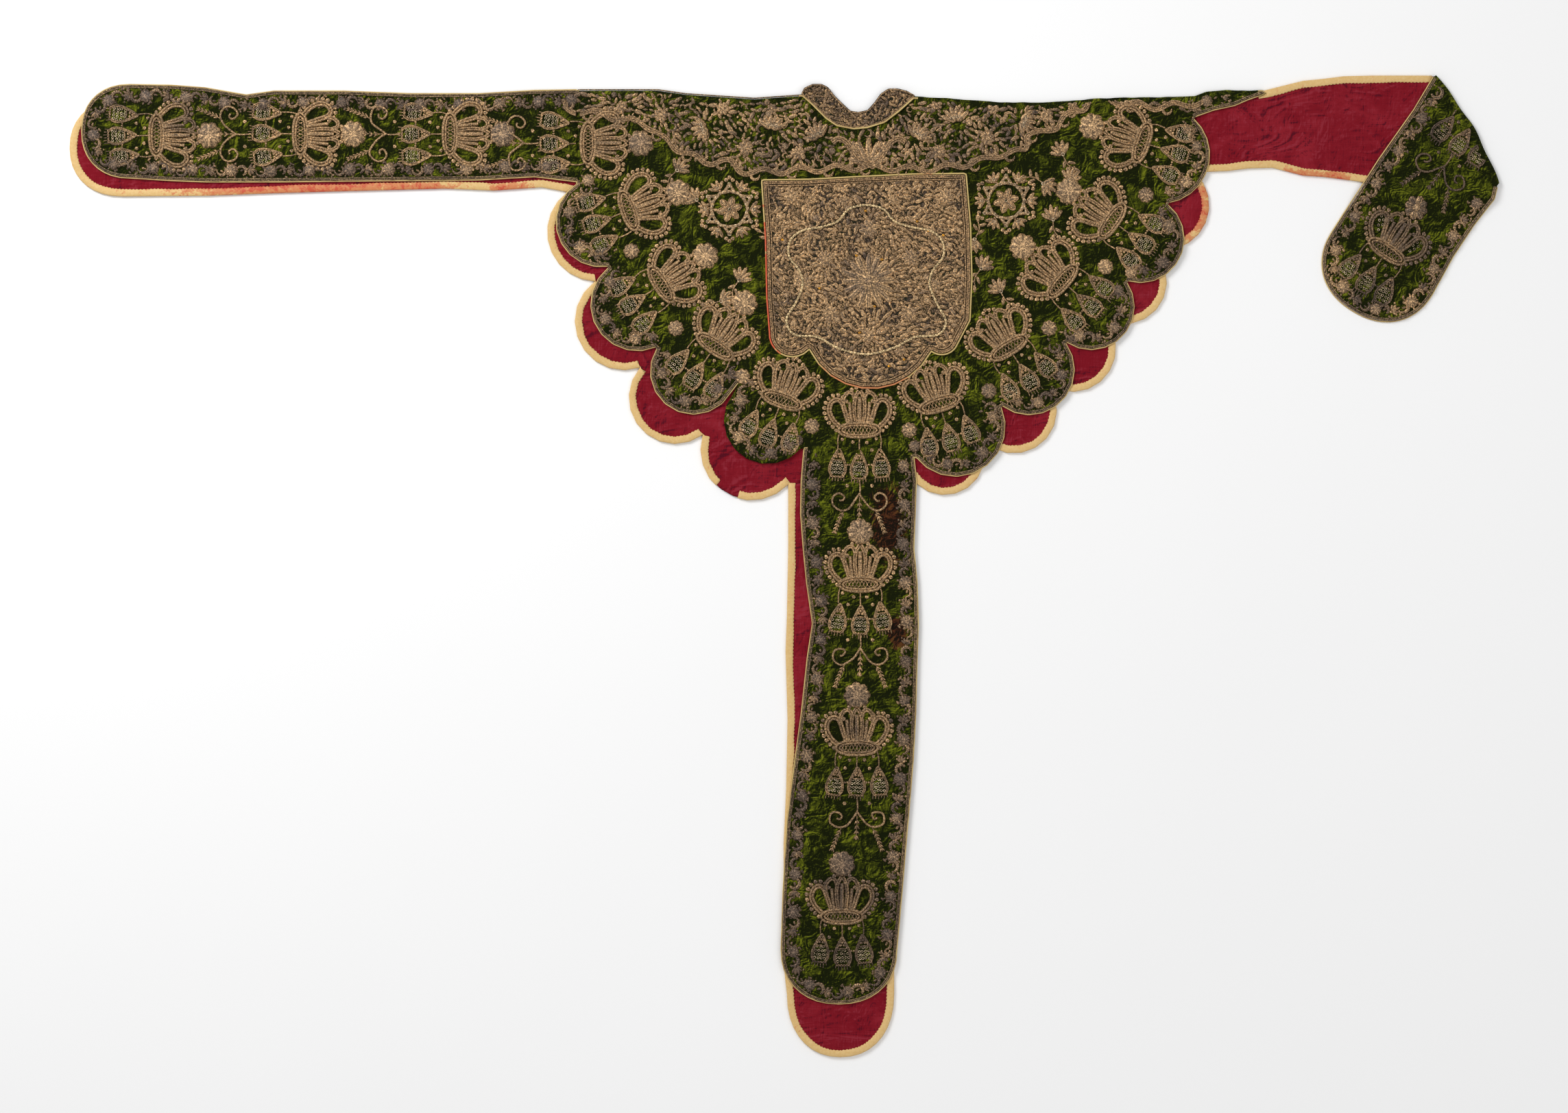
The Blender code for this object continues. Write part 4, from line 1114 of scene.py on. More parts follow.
def sew_fork(at):
    """A stem that parts into two scrolls with ferns, and a bud between them."""
    at.thread(flow(FORK_STEM), 1.3, 0.3)
    for side in (1, -1):
        arm = [(x + at.sewing.random.uniform(-1.5, 1.5), y * side) for x, y in FORK_ARM]
        at.thread(flow(arm, 2.8), 1.75, 0.4)
        sew_fern(at, [(x, y * side) for x, y in FORK_FERN])
        at.knot(-85, 19 * side, 3.4, 2.4)
    sew_fern(at, FORK_BUD, 4)
    at.knot(-139, 1, 2.6, 2.2)


def sew_star(at):
    """A six-pointed star of linked spangles round a flower, trefoils at its points and sprays between."""
    for step in range(6):
        petal = at.sub(0, 0, 60 * step + 14)
        petal.leaf(1, 0, 0, 20, 11, 2.2, 0.3, 0.1)
        petal.thread(flow([(3, 0.6), (9, 4.6), (15, 4.2), (19.5, 0), (15, -4.2), (9, -4.6), (3, -0.6)], 2.6), 0.9, 0.6)
    at.spangle(0, 0, 2.6, 1.8)
    ring = []
    for step in range(6):
        point = at.sub(0, 0, 60 * step + 30)
        ring += list(flow([(24.5, -13), (27, 0), (24.5, 13)], 4.0) @ rotation(60 * step + 30))
        for side in (1, -1):
            line = flow([(25.5, 9 * side), (32, 4 * side), (39, 0)], 2.6)
            point.thread(line, 2.5, 0.4, tone=0.15)
            for place in line[::2]:
                point.spangle(place[0], place[1] - 0.8 * side, 2.1, 3.2)
        for turn in (-80, 0, 80):
            point.knot(44 + 4.6 * math.cos(math.radians(turn)), 5.0 * math.sin(math.radians(turn)), 3.9, 3.2)
        spray = at.sub(0, 0, 60 * step)
        for x, y in ((27.5, 2), (31, -1.5), (33.5, 1.5)):
            spray.knot(x, y, 2.3, 2.0)
        for turn in (-52, -18, 18, 52):
            spray.leaf(33, 0, turn, 17, 7.4, 2.6, 0.2, 0.1)
        spray.spangle(37, 0, 2.7, 1.9)
    at.thread(ring, 2.6, 0.3, closed=True, tone=0.15)
    for place in ring[::2]:
        at.spangle(place[0], place[1], 2.3, 3.4)


def sew_spray(at, leaves=5):
    """A spray: broad leaves fanned from a curved stem, smaller ones down it, and a bead at its heart."""
    at.thread(flow([(-26, -5), (-16, 1), (-6, 1), (2, 0)], 3), 1.0, 0.2)
    for step in range(leaves):
        turn = (step - (leaves - 1) / 2) * 27
        at.leaf(0, 0, turn, 22 - abs(turn) * 0.06, 8.2, 2.4, 0.2)
    for x, y, turn in ((-8, 1, 140), (-12, 0, -130), (-19, -1, 125), (-23, -3, -150)):
        at.leaf(x, y, turn, 12, 5.4, 2.0, 0.1)
    at.spangle(0, 0, 2.8, 2.2)


def sew_border(sewing, line, tone, inset=18.0, pitch=60.0, closed=False):
    """A border inside a trimmed edge: rosettes, with a pair of scrolls and a tulip between them."""
    chance = sewing.random
    middle = resampled(beside(line, inset, closed), pitch / 4, closed)
    ways = np.degrees(np.arctan2(*(np.roll(middle, -1, axis=0) - middle)[:, ::-1].T))
    if not closed:
        middle, ways = middle[:-1], ways[:-1]
    for index, (place, way) in enumerate(zip(middle, ways)):
        at = Motif(sewing, place[0] + chance.uniform(-1, 1), place[1] + chance.uniform(-1, 1),
                   way + chance.uniform(-10, 10), chance.uniform(0.85, 1.05), tone + chance.normal(0, 0.08))
        if index % 4 == 0:
            sew_rosette(at, 10.5, 2.6)
            for turn in (60, 120, -60, -120):
                at.leaf(9 * math.cos(math.radians(turn)), 9 * math.sin(math.radians(turn)), turn, 5.5, 3.4, 1.5)
        elif index % 4 == 2:
            for turn in (-64, -32, 0, 32, 64):
                at.leaf(-5, 0, turn, 14 - abs(turn) * 0.05, 5.4, 1.9, 0.2)
            at.knot(-7, 0, 2.2, 2.0)
            at.knot(4, 9.5, 1.9, 1.7)
            at.knot(4, -9.5, 1.9, 1.7)
        else:
            left = index % 4 == 3
            flip = -1 if left else 1
            at.spot("left_curl" if left else "curl", 0, 0, chance.uniform(-15, 15), 11.5, 11.5, 2.4)
            for x, y, turn in ((-9, 6, 150), (-10, -5, 205), (7, -9, -40), (-3, 0, 20)):
                at.leaf(x, y * flip, turn * flip, 7.5, 4.2, 1.8, 0.1)


def scattered(outline, spacing, seed, margin=0.0, avoid=()):
    """Places at least a spacing apart inside an outline and clear of circles, in a fixed order."""
    chance = np.random.default_rng(seed)
    low, high = outline.min(axis=0), outline.max(axis=0)
    count = int((high - low).prod() / spacing ** 2 * 14)
    trial = low + chance.random((count, 2)) * (high - low)
    trial = trial[inside(trial, outline)]
    if margin:
        trial = trial[distance_to(trial, outline) > margin]
    for x, y, radius in avoid:
        trial = trial[np.hypot(trial[:, 0] - x, trial[:, 1] - y) > radius]
    cells, kept = {}, []
    for x, y in trial:
        cell = (int(x // spacing), int(y // spacing))
        close = [cells.get((cell[0] + a, cell[1] + b), ()) for a in (-1, 0, 1) for b in (-1, 0, 1)]
        if all((x - p) ** 2 + (y - q) ** 2 >= spacing ** 2 for group in close for p, q in group):
            cells.setdefault(cell, []).append((x, y))
            kept.append((x, y))
    return np.array(kept)


def sew_foliage(sewing, outline, spacing, seed, tone, centres, length=11.0, margin=2.0, avoid=(), vine=0.0):
    """Ground packed with leaves that fan from growing points, with scrolls, small rosettes and beads.

    Within a vine's width of the edge they run along it."""
    chance = sewing.random
    edge = resampled(outline, 4.0, True)
    ways = np.degrees(np.arctan2(*(np.roll(edge, -1, axis=0) - edge)[:, ::-1].T))
    for x, y in scattered(outline, spacing, seed, margin, avoid):
        reach = np.hypot(edge[:, 0] - x, edge[:, 1] - y)
        middle = min(centres, key=lambda centre: math.dist(centre[:2], (x, y)))
        turn = math.degrees(math.atan2(y - middle[1], x - middle[0])) + chance.normal(0, 22)
        if reach.min() < vine:
            turn = ways[int(reach.argmin())] + chance.choice((-38, 38, 142, -142)) + chance.normal(0, 10)
        size = length * chance.choice((0.7, 0.85, 1.0, 1.25))
        high, shade = chance.uniform(1.2, 2.2), chance.normal(0, 0.14)
        at = Motif(sewing, x, y, turn, 1.0, tone)
        kind = chance.random()
        if kind < 0.82:
            at.leaf(-size / 2, 0, 0, size, size * chance.uniform(0.42, 0.56), high, 0.0, shade)
        elif kind < 0.91:
            at.spot(chance.choice(("curl", "left_curl")), 0, 0, 0, size * 0.5, size * 0.5, high, 0.3, shade)
        elif kind < 0.96:
            sew_rosette(at, size * 0.36, high, 0.5, shade)
        else:
            at.knot(0, 0, 2.0, 1.7, 0.3)


# ---- Materials ----

class Finish:
    """A material's nodes, wired by short calls."""

    def __init__(self, name, roughness=0.6, metallic=0.0, sheen=0.0, sheen_tint=None, specular=0.3):
        self.material = bpy.data.materials.new(name)
        self.material.use_nodes = True
        self.nodes, self.link = self.material.node_tree.nodes, self.material.node_tree.links.new
        self.shader = self.nodes["Principled BSDF"]
        self.shader.inputs["Roughness"].default_value = roughness
        self.shader.inputs["Metallic"].default_value = metallic
        self.shader.inputs["Specular IOR Level"].default_value = specular
        self.shader.inputs["Sheen Weight"].default_value = sheen
        if sheen_tint:
            self.shader.inputs["Sheen Tint"].default_value = (*sheen_tint, 1.0)
        self.place = self.nodes.new("ShaderNodeTexCoord").outputs["Object"]

    def put(self, socket, value):
        if isinstance(value, bpy.types.NodeSocket):
            self.link(value, socket)
        elif isinstance(value, (tuple, list)) or hasattr(value, "__len__"):
            socket.default_value = (*value, 1.0) if len(value) == 3 and len(socket.default_value) == 4 else value
        else:
            socket.default_value = value

    def noise(self, scale, detail=3.0, distortion=0.0, roughness=0.55, place=None):
        node = self.nodes.new("ShaderNodeTexNoise")
        self.put(node.inputs["Vector"], place or self.place)
        node.inputs["Scale"].default_value = scale
        node.inputs["Detail"].default_value = detail
        node.inputs["Distortion"].default_value = distortion
        node.inputs["Roughness"].default_value = roughness
        return node.outputs["Fac"]

    def relief(self, scale, detail=4.0, distortion=1.0, roughness=0.6, reach=1.4, stretch=None):
        """How sharp folds in the cloth catch light from the upper left: their slope that way, about 0."""
        place = self.place
        if stretch:
            node = self.nodes.new("ShaderNodeVectorMath")
            node.operation = "MULTIPLY"
            self.link(place, node.inputs[0])
            node.inputs[1].default_value = stretch
            place = node.outputs["Vector"]
        moved = self.nodes.new("ShaderNodeVectorMath")
        moved.operation = "ADD"
        self.link(place, moved.inputs[0])
        moved.inputs[1].default_value = (-reach * MM, reach * MM, 0)
        here = self.ridge(self.noise(scale, detail, distortion, roughness, place))
        there = self.ridge(self.noise(scale, detail, distortion, roughness, moved.outputs["Vector"]))
        return self.sum("SUBTRACT", here, there)

    def cells(self, scale, warp):
        """Distance from the nearest edge between bent cells, about 0 to 0.5."""
        sway = self.nodes.new("ShaderNodeTexNoise")
        sway.inputs["Scale"].default_value = scale * 0.6
        self.link(self.place, sway.inputs["Vector"])
        bent = self.nodes.new("ShaderNodeVectorMath")
        bent.operation = "MULTIPLY_ADD"
        self.link(sway.outputs["Color"], bent.inputs[0])
        bent.inputs[1].default_value = (warp, warp, 0)
        self.link(self.place, bent.inputs[2])
        node = self.nodes.new("ShaderNodeTexVoronoi")
        node.feature = "DISTANCE_TO_EDGE"
        node.inputs["Scale"].default_value = scale
        self.link(bent.outputs["Vector"], node.inputs["Vector"])
        return node.outputs["Distance"]

    def scaled(self, colour, factor):
        """The colour made lighter or darker by a factor."""
        node = self.nodes.new("ShaderNodeVectorMath")
        node.operation = "SCALE"
        self.put(node.inputs[0], colour)
        self.put(node.inputs["Scale"], factor)
        return node.outputs["Vector"]

    def value(self, title):
        node = self.nodes.new("ShaderNodeAttribute")
        node.attribute_name = title
        return node.outputs["Fac"]

    def sum(self, operation, first, second=0.0, third=None):
        node = self.nodes.new("ShaderNodeMath")
        node.operation = operation
        self.put(node.inputs[0], first)
        self.put(node.inputs[1], second)
        if third is not None:
            self.put(node.inputs[2], third)
        return node.outputs[0]

    def spread(self, value, low, high, to_low=0.0, to_high=1.0):
        node = self.nodes.new("ShaderNodeMapRange")
        node.interpolation_type = "SMOOTHSTEP"
        for title, number in (("Value", value), ("From Min", low), ("From Max", high), ("To Min", to_low),
                              ("To Max", to_high)):
            self.put(node.inputs[title], number)
        return node.outputs["Result"]

    def blend(self, share, first, second):
        node = self.nodes.new("ShaderNodeMix")
        node.data_type = "RGBA"
        self.put(node.inputs[0], share)
        self.put(node.inputs[6], first)
        self.put(node.inputs[7], second)
        return node.outputs[2]

    def ridge(self, value):
        """1 where a noise crosses its middle, falling to 0 either side."""
        return self.sum("SUBTRACT", 1.0, self.sum("ABSOLUTE", self.sum("MULTIPLY_ADD", value, 2.0, -1.0)))

    def patch(self, x, y, half_x, half_y):
        """1 inside a soft oval at a place in the cut."""
        node = self.nodes.new("ShaderNodeMapping")
        node.vector_type = "TEXTURE"
        node.inputs["Location"].default_value = ((x + SHIFT[0]) * MM, (y + SHIFT[1]) * MM, 0)
        node.inputs["Scale"].default_value = (half_x * MM, half_y * MM, 1)
        self.put(node.inputs["Vector"], self.place)
        length = self.nodes.new("ShaderNodeVectorMath")
        length.operation = "LENGTH"
        self.link(node.outputs["Vector"], length.inputs[0])
        ragged = self.sum("MULTIPLY_ADD", self.noise(60, 6, 0.8, 0.75), 3.0, -1.5)
        return self.spread(self.sum("ADD", length.outputs["Value"], ragged), 1.15, 0.75)

    def bump(self, height, strength, distance, under=None):
        node = self.nodes.new("ShaderNodeBump")
        node.inputs["Strength"].default_value = strength
        node.inputs["Distance"].default_value = distance
        self.put(node.inputs["Height"], height)
        if under is not None:
            self.link(under, node.inputs["Normal"])
        return node.outputs["Normal"]

    def coat(self, colour=None, roughness=None, normal=None):
        for title, value in (("Base Color", colour), ("Roughness", roughness), ("Normal", normal)):
            if value is not None:
                self.put(self.shader.inputs[title], value)
        return self.material


def velvet_finish(name, cloth, patches=()):
    """Crushed velvet: pile that lies in dark pools at random, with painted shade and painted highlights from made-up
    folds and puckers lit from the upper left and on its ridges, and worn patches.
    """
    finish = Finish(name, roughness=0.85, sheen=0.06, sheen_tint=(0.55, 0.68, 0.25), specular=0.06)
    pool = finish.noise(30, 4, 1.4, 0.6)
    # fold and pucker are painted shading: the slope of made-up folds and puckers towards a light at the upper left,
    # added to the colour.
    fold = finish.relief(44, 3, 1.6, 0.55)
    pucker = finish.relief(120, 3, 1.2, 0.6, 1.0)
    fine = finish.noise(420, 3, 0.6, 0.7)
    pile_and_painted_light = finish.spread(pool, 0.42, 0.62, 0.04, 0.50)
    pile_and_painted_light = finish.sum("ADD", pile_and_painted_light, finish.sum("MULTIPLY", fold, 2.0))
    pile_and_painted_light = finish.sum("ADD", pile_and_painted_light, finish.sum("MULTIPLY", pucker, 0.7))
    # Painted highlight on the geometry's ridges, painted shade in its hollows.
    pile_and_painted_light = finish.sum("ADD", pile_and_painted_light, finish.sum("MULTIPLY_ADD", finish.value("ridge"), 0.25, -0.08))
    pile_and_painted_light = finish.sum("ADD", pile_and_painted_light, finish.sum("MULTIPLY_ADD", fine, 0.5, -0.25))
    # Painted shade and painted highlight: the colour runs from the velvet's shade colour through its middle tone to its
    # ridge colour, as the random pools and the painted shading say.
    low = finish.blend(finish.spread(pile_and_painted_light, 0.08, 0.42), cloth.velvet_dark, cloth.velvet_mid)
    colour = finish.blend(finish.spread(pile_and_painted_light, 0.36, 0.90), low, cloth.velvet_bright)
    # Worn patches take the worn ground's colour, darkened towards near black by painted shade from the same shading.
    for patch in patches:
        worn_and_painted_shade = finish.blend(finish.spread(finish.sum("ADD", pile_and_painted_light, fine), 0.5, 1.1), (0.009, 0.004, 0.003),
                            cloth.velvet_worn)
        colour = finish.blend(finish.sum("MULTIPLY", finish.patch(*patch), 0.85), colour, worn_and_painted_shade)
    normal = finish.bump(pool, 0.5, 0.006)
    normal = finish.bump(fine, 0.5, 0.001, normal)
    return finish.coat(colour, None, normal)


def lining_finish(name, cloth):
    """Cotton lining: a slubbed plain weave, faded in places, with painted shade and painted highlights along long
    creases lit from the upper left.
    """
    finish = Finish(name, roughness=0.9, sheen=0.04, sheen_tint=(0.7, 0.3, 0.35), specular=0.1)
    fade = finish.noise(12, 5, 0.8, 0.65)
    colour = finish.blend(finish.spread(fade, 0.42, 0.68), cloth.lining, cloth.lining_faded)
    # crease is painted shading: the slope of made-up creases towards a light at the upper left.
    crease = finish.relief(13, 2, 1.8, 0.5, 2.0, (0.6, 1.5, 1))
    crease = finish.sum("ADD", crease, finish.sum("MULTIPLY", finish.relief(26, 4, 1.0, 0.6, 1.4, (1.6, 0.7, 1)), 0.7))
    slubs = 0.0
    for stretch in ((0.06, 1, 1), (1, 0.06, 1)):
        node = finish.nodes.new("ShaderNodeVectorMath")
        node.operation = "MULTIPLY"
        finish.link(finish.place, node.inputs[0])
        node.inputs[1].default_value = stretch
        slubs = finish.sum("ADD", slubs, finish.noise(620, 3, 0, 0.6, node.outputs["Vector"]))
    # light mixes the weave's slubs with the painted crease shading and a painted highlight on the geometry's ridges.
    light = finish.sum("MULTIPLY_ADD", slubs, 0.7, -0.7)
    light = finish.sum("MULTIPLY_ADD", crease, 2.1, light)
    light = finish.sum("MULTIPLY_ADD", finish.value("ridge"), 0.3, light)
    # Painted shade on the creases' dark sides and painted highlight on their lit sides.
    colour = finish.blend(finish.spread(light, 0.02, -0.30, 0.0, 0.75), colour, (0.05, 0.002, 0.010))
    colour = finish.blend(finish.spread(light, 0.12, 0.50, 0.0, 0.6), colour, (0.28, 0.028, 0.045))
    normal = finish.bump(finish.ridge(finish.noise(20, 5, 1.2, 0.6)), 0.4, 0.004)
    return finish.coat(colour, None, finish.bump(slubs, 0.4, 0.0005, normal))


def binding_finish(name, trims):
    """Silk binding: slubbed and soiled, with orange-red stains where its stain value says."""
    finish = Finish(name, roughness=0.55, sheen=0.1, specular=0.35)
    soil = finish.noise(22, 4, 0.6)
    slub = finish.noise(260, 4, 0.3, 0.7)
    colour = finish.blend(finish.spread(soil, 0.35, 0.75, 0.0, 0.5), trims.binding, (0.62, 0.40, 0.14))
    colour = finish.blend(finish.spread(slub, 0.35, 0.75, 0.0, 0.3), colour, (0.9, 0.7, 0.38))
    ragged = finish.sum("ADD", finish.value("stain"), finish.sum("MULTIPLY_ADD", finish.noise(130, 5, 0.5, 0.7), 3.0, -1.5))
    colour = finish.blend(finish.spread(ragged, 0.30, 0.70, 0.0, 0.85), colour, (0.58, 0.17, 0.06))
    colour = finish.blend(finish.spread(ragged, 0.85, 1.25, 0.0, 0.9), colour, trims.stain)
    speck = finish.spread(finish.noise(52, 5, 0.2), 0.70, 0.76, 0.0, 0.6)
    colour = finish.blend(speck, colour, (0.55, 0.2, 0.05))
    normal = finish.bump(slub, 0.5, 0.0008)
    return finish.coat(colour, None, normal)


def silk_finish(name, colour, other, scale=30):
    """Plain silk trim, with soiled stretches and a fine slub."""
    finish = Finish(name, roughness=0.55, specular=0.35)
    mix = finish.blend(finish.spread(finish.noise(scale, 4), 0.38, 0.7), colour, other)
    return finish.coat(mix, None, finish.bump(finish.noise(420, 3), 0.5, 0.0006))


def edging_finish(name, trims):
    """The panel's edging: coral silk down its left side and in places along its foot, worn pale elsewhere."""
    finish = Finish(name, roughness=0.6, specular=0.3)
    left = finish.patch(-30, 385, 24, 140)
    foot = finish.sum("MULTIPLY", finish.patch(110, 278, 90, 30), 0.6)
    worn = finish.spread(finish.noise(18, 4), 0.62, 0.70, 0.0, 0.7)
    share = finish.sum("MAXIMUM", finish.sum("MAXIMUM", left, foot), worn)
    colour = finish.blend(share, trims.piping, trims.coral)
    return finish.coat(colour, None, finish.bump(finish.noise(420, 3), 0.5, 0.0006))


def thread_finish(name, threads, bright, twist=0.0016, metallic=0.15, rimmed=False):
    """Tarnished metal thread: fine turns or rows of stitches, with painted highlights on crests and painted shade in
    crevices, and on motifs a painted highlight inside the rim with painted shade at the rim.
    """
    finish = Finish(name, roughness=0.5, metallic=metallic, specular=0.3)
    tarnish = finish.noise(14, 4, 0.6)
    grain_and_glints = finish.noise(400, 5, 0.4, 0.85)
    share = finish.sum("ADD", finish.value("tone"), finish.sum("MULTIPLY_ADD", tarnish, 1.2, -0.6))
    colour = finish.blend(finish.spread(share, 0.05, 0.85), threads.thread_dull, bright)
    colour = finish.blend(finish.spread(finish.value("tone"), 1.3, 1.6), colour, (0.52, 0.38, 0.20))
    colour = finish.blend(finish.spread(finish.value("tone"), 2.0, 2.4), colour, (0.50, 0.22, 0.02))
    turns = finish.sum("SINE", finish.sum("MULTIPLY", finish.value("along"), math.tau / twist))
    crest = finish.sum("MULTIPLY_ADD", turns, 0.035, grain_and_glints)
    # Painted highlights and painted shade: the colour is lit up to 2.9 times on the crests of the turns and the glint
    # speckle, and darkened to 0.15 in the crevices between them.
    factor = finish.sum("ADD", finish.spread(crest, 0.49, 0.63, 0.75, 2.9), finish.spread(crest, 0.50, 0.38, 0.0, -0.6))
    if rimmed:
        # Painted highlight on the band inside a motif's rim and painted shade at the rim itself.
        rim = finish.value("edge")
        outline = finish.sum("ADD", finish.spread(rim, 0.22, 0.42, 0.85, 1.6), finish.spread(rim, 0.78, 0.92, 0.0, -1.45))
        factor = finish.sum("MULTIPLY", factor, outline)
    return finish.coat(finish.scaled(colour, factor), finish.spread(grain_and_glints, 0.3, 0.7, 0.35, 0.6),
                       finish.bump(crest, 0.6, 0.0008))


def packed_finish(name, cloth, threads):
    """Ground under packed work: small fillings of thread, with painted shade towards their edges and painted glints,
    and velvet in its painted shade colour between them.
    """
    finish = Finish(name, roughness=0.6, metallic=0.1, specular=0.2)
    reach = finish.cells(170, 0.012)
    grain_and_glints = finish.noise(500, 4, 0.4, 0.8)
    colour = finish.blend(finish.spread(finish.noise(30, 3), 0.4, 0.6), threads.thread_dull, threads.thread)
    # Painted shade towards each filling's edge and painted glints from the speckle.
    factor = finish.sum("MULTIPLY", finish.spread(reach, 0.30, 0.12, 0.45, 1.1), finish.spread(grain_and_glints, 0.4, 0.62, 0.6, 1.9))
    # Between the fillings the velvet shows in its painted shade colour.
    colour = finish.blend(finish.spread(reach, 0.05, 0.10), cloth.velvet_dark, finish.scaled(colour, factor))
    return finish.coat(colour, None, finish.bump(finish.spread(reach, 0.0, 0.2), 0.9, 0.002))


MATERIALS = {}
TREES = {}
PIECES = {}


def finishes():
    """The garment's materials and the two sewing trees, made once."""
    if MATERIALS:
        return MATERIALS
    scene = bpy.context.scene
    cloth, trims, threads = scene.stole_cloth, scene.stole_trims, scene.stole_threads
    MATERIALS.update({
        "velvet": velvet_finish("crushed_velvet", cloth, WORN_PATCHES),
        "lining": lining_finish("cotton_lining", cloth),
        "binding": binding_finish("silk_binding", trims),
        "piping": silk_finish("pale_piping_silk", trims.piping, (0.45, 0.30, 0.12)),
        "coral": edging_finish("coral_silk", trims),
        "edge_cord": thread_finish("edge_cord_metal", threads, (0.23, 0.155, 0.08), 0.0022),
        "thread": thread_finish("purl_thread", threads, threads.thread),
        "motif": thread_finish("satin_stitched_metal", threads, threads.thread, 1.0, rimmed=True),
        "spangle": thread_finish("ring_spangle_metal", threads, threads.spangle, 1.0, 0.35),
        "ground": packed_finish("packed_ground_work", cloth, threads),
    })
    TREES["couching"] = couching_tree()
    TREES["scatter"] = scatter_tree()
    return MATERIALS


# ---- The folded right band ----

def fold_bulge(share):
    """How far the fold swells out of its straight line, from its top at 0 to its foot at 1."""
    share = np.clip(share, 0, 1)
    return FOLD_BULGE * np.sin(np.pi * share) ** 0.8 + 1.6 * np.sin(np.pi * share) * np.sin(15 * share)


class TurnedBand:
    """The right band's flat cut in the fold line's own axes, and its place once turned."""

    def __init__(self, radius, thickness):
        self.radius, self.half = radius, thickness / 2
        top, bottom = np.array(FOLD, float)
        self.origin = top
        self.along = (top - bottom) / np.linalg.norm(top - bottom)
        self.across = np.array([self.along[1], -self.along[0]])
        self.turn = math.pi * radius
        self.length = float(np.linalg.norm(top - bottom))

    def flat(self, points):
        offset = np.asarray(points, float) - self.origin
        return np.column_stack([offset @ self.across, offset @ self.along])

    def cut(self, points):
        placed = self.flat(points)
        return np.column_stack([self.turn - placed[:, 0], placed[:, 1]])

    def outline(self, node):
        """The band's outline from the frame up to the fold, and the turned end beyond it."""
        band = self.flat(node_outline(node))
        on_fold = np.flatnonzero(band[:, 0] > -0.5)
        start, end = band[on_fold[np.argmin(band[on_fold, 1])]], band[on_fold[np.argmax(band[on_fold, 1])]]
        first = int(np.flatnonzero((band == end).all(axis=1))[0])
        last = int(np.flatnonzero((band == start).all(axis=1))[0])
        rolled = np.roll(band, -first, axis=0)
        body = rolled[: (last - first) % len(band) + 1]
        flap = self.cut(flap_outline())
        flap = beside(flap, PIPED_MARGIN)
        return np.vstack([body, [(self.turn, start[1])], flap, [(self.turn, end[1])]])

    def place(self, points, depth):
        reach, along = points[:, 0], points[:, 1]
        radius = self.radius - depth
        angle = np.clip(reach / self.radius, 0, math.pi)
        across = np.where(reach <= 0, reach, np.where(reach < self.turn, radius * np.sin(angle), self.turn - reach))
        beyond = np.maximum(0, np.maximum(-reach, reach - self.turn)) / BULGE_REACH
        across = across + fold_bulge(along / -self.length) * np.clip(1 - beyond, 0, 1) ** 2
        level = FOLD_HEIGHT - radius * np.cos(angle)
        spot = self.origin + across[:, None] * self.across + along[:, None] * self.along
        level = level - np.where(reach >= self.turn, settled(spot[:, 0], spot[:, 1]), 0)
        return np.column_stack([spot, level])

    def shape(self, outer_swell, inner_swell):
        """A shaping for shell: the outer side and the inner side, each with its own ridges."""
        def shaped(points):
            outer, inner = self.place(points, -self.half), self.place(points, self.half)
            turned = np.clip(points[:, 0] / self.turn, 0, 1)
            rise = outer_swell(outer[:, 0], outer[:, 1])
            dent = inner_swell(inner[:, 0], inner[:, 1])
            outer[:, 2] += np.where(turned >= 1, rise, 0)
            inner[:, 2] += np.where(turned <= 0, dent, 0)
            outer[:, 2] += np.where(turned >= 1, 0, 0)
            return outer, inner
        return shaped

    def fold_rows(self):
        """Points that keep the fold round."""
        return [(self.turn * step / 8, -y) for step in range(9) for y in np.arange(1.5, self.length, 4.0)]


def flap_outline():
    """The turned end's edge as it lies, from the fold's lower end round to its upper end."""
    tip = round_end(FLAP_LEFT[0], FLAP_RIGHT[-1], FLAP_DEPTH)
    return np.vstack([FLAP_RIGHT, tip[::-1][1:-1], FLAP_LEFT])


def flap_ground(margin=3.0):
    """The turned end's velvet inside its trims, up to the fold."""
    top, foot = np.array(FOLD, float)
    way = (top - foot) / np.linalg.norm(top - foot)
    shares = np.linspace(0.02, 0.98, 30)
    fold = top + (foot - top) * shares[:, None] + fold_bulge(shares)[:, None] * (way[1], -way[0])
    edge = np.vstack([flap_outline(), fold])
    return beside(edge[::-1], margin, True)[::-1] if not clockwise(edge) else beside(edge, -margin, True)


def clockwise(outline):
    x, y = np.asarray(outline, float).T
    return float(np.dot(x, np.roll(y, -1)) - np.dot(y, np.roll(x, -1))) < 0


# ---- Operators ----

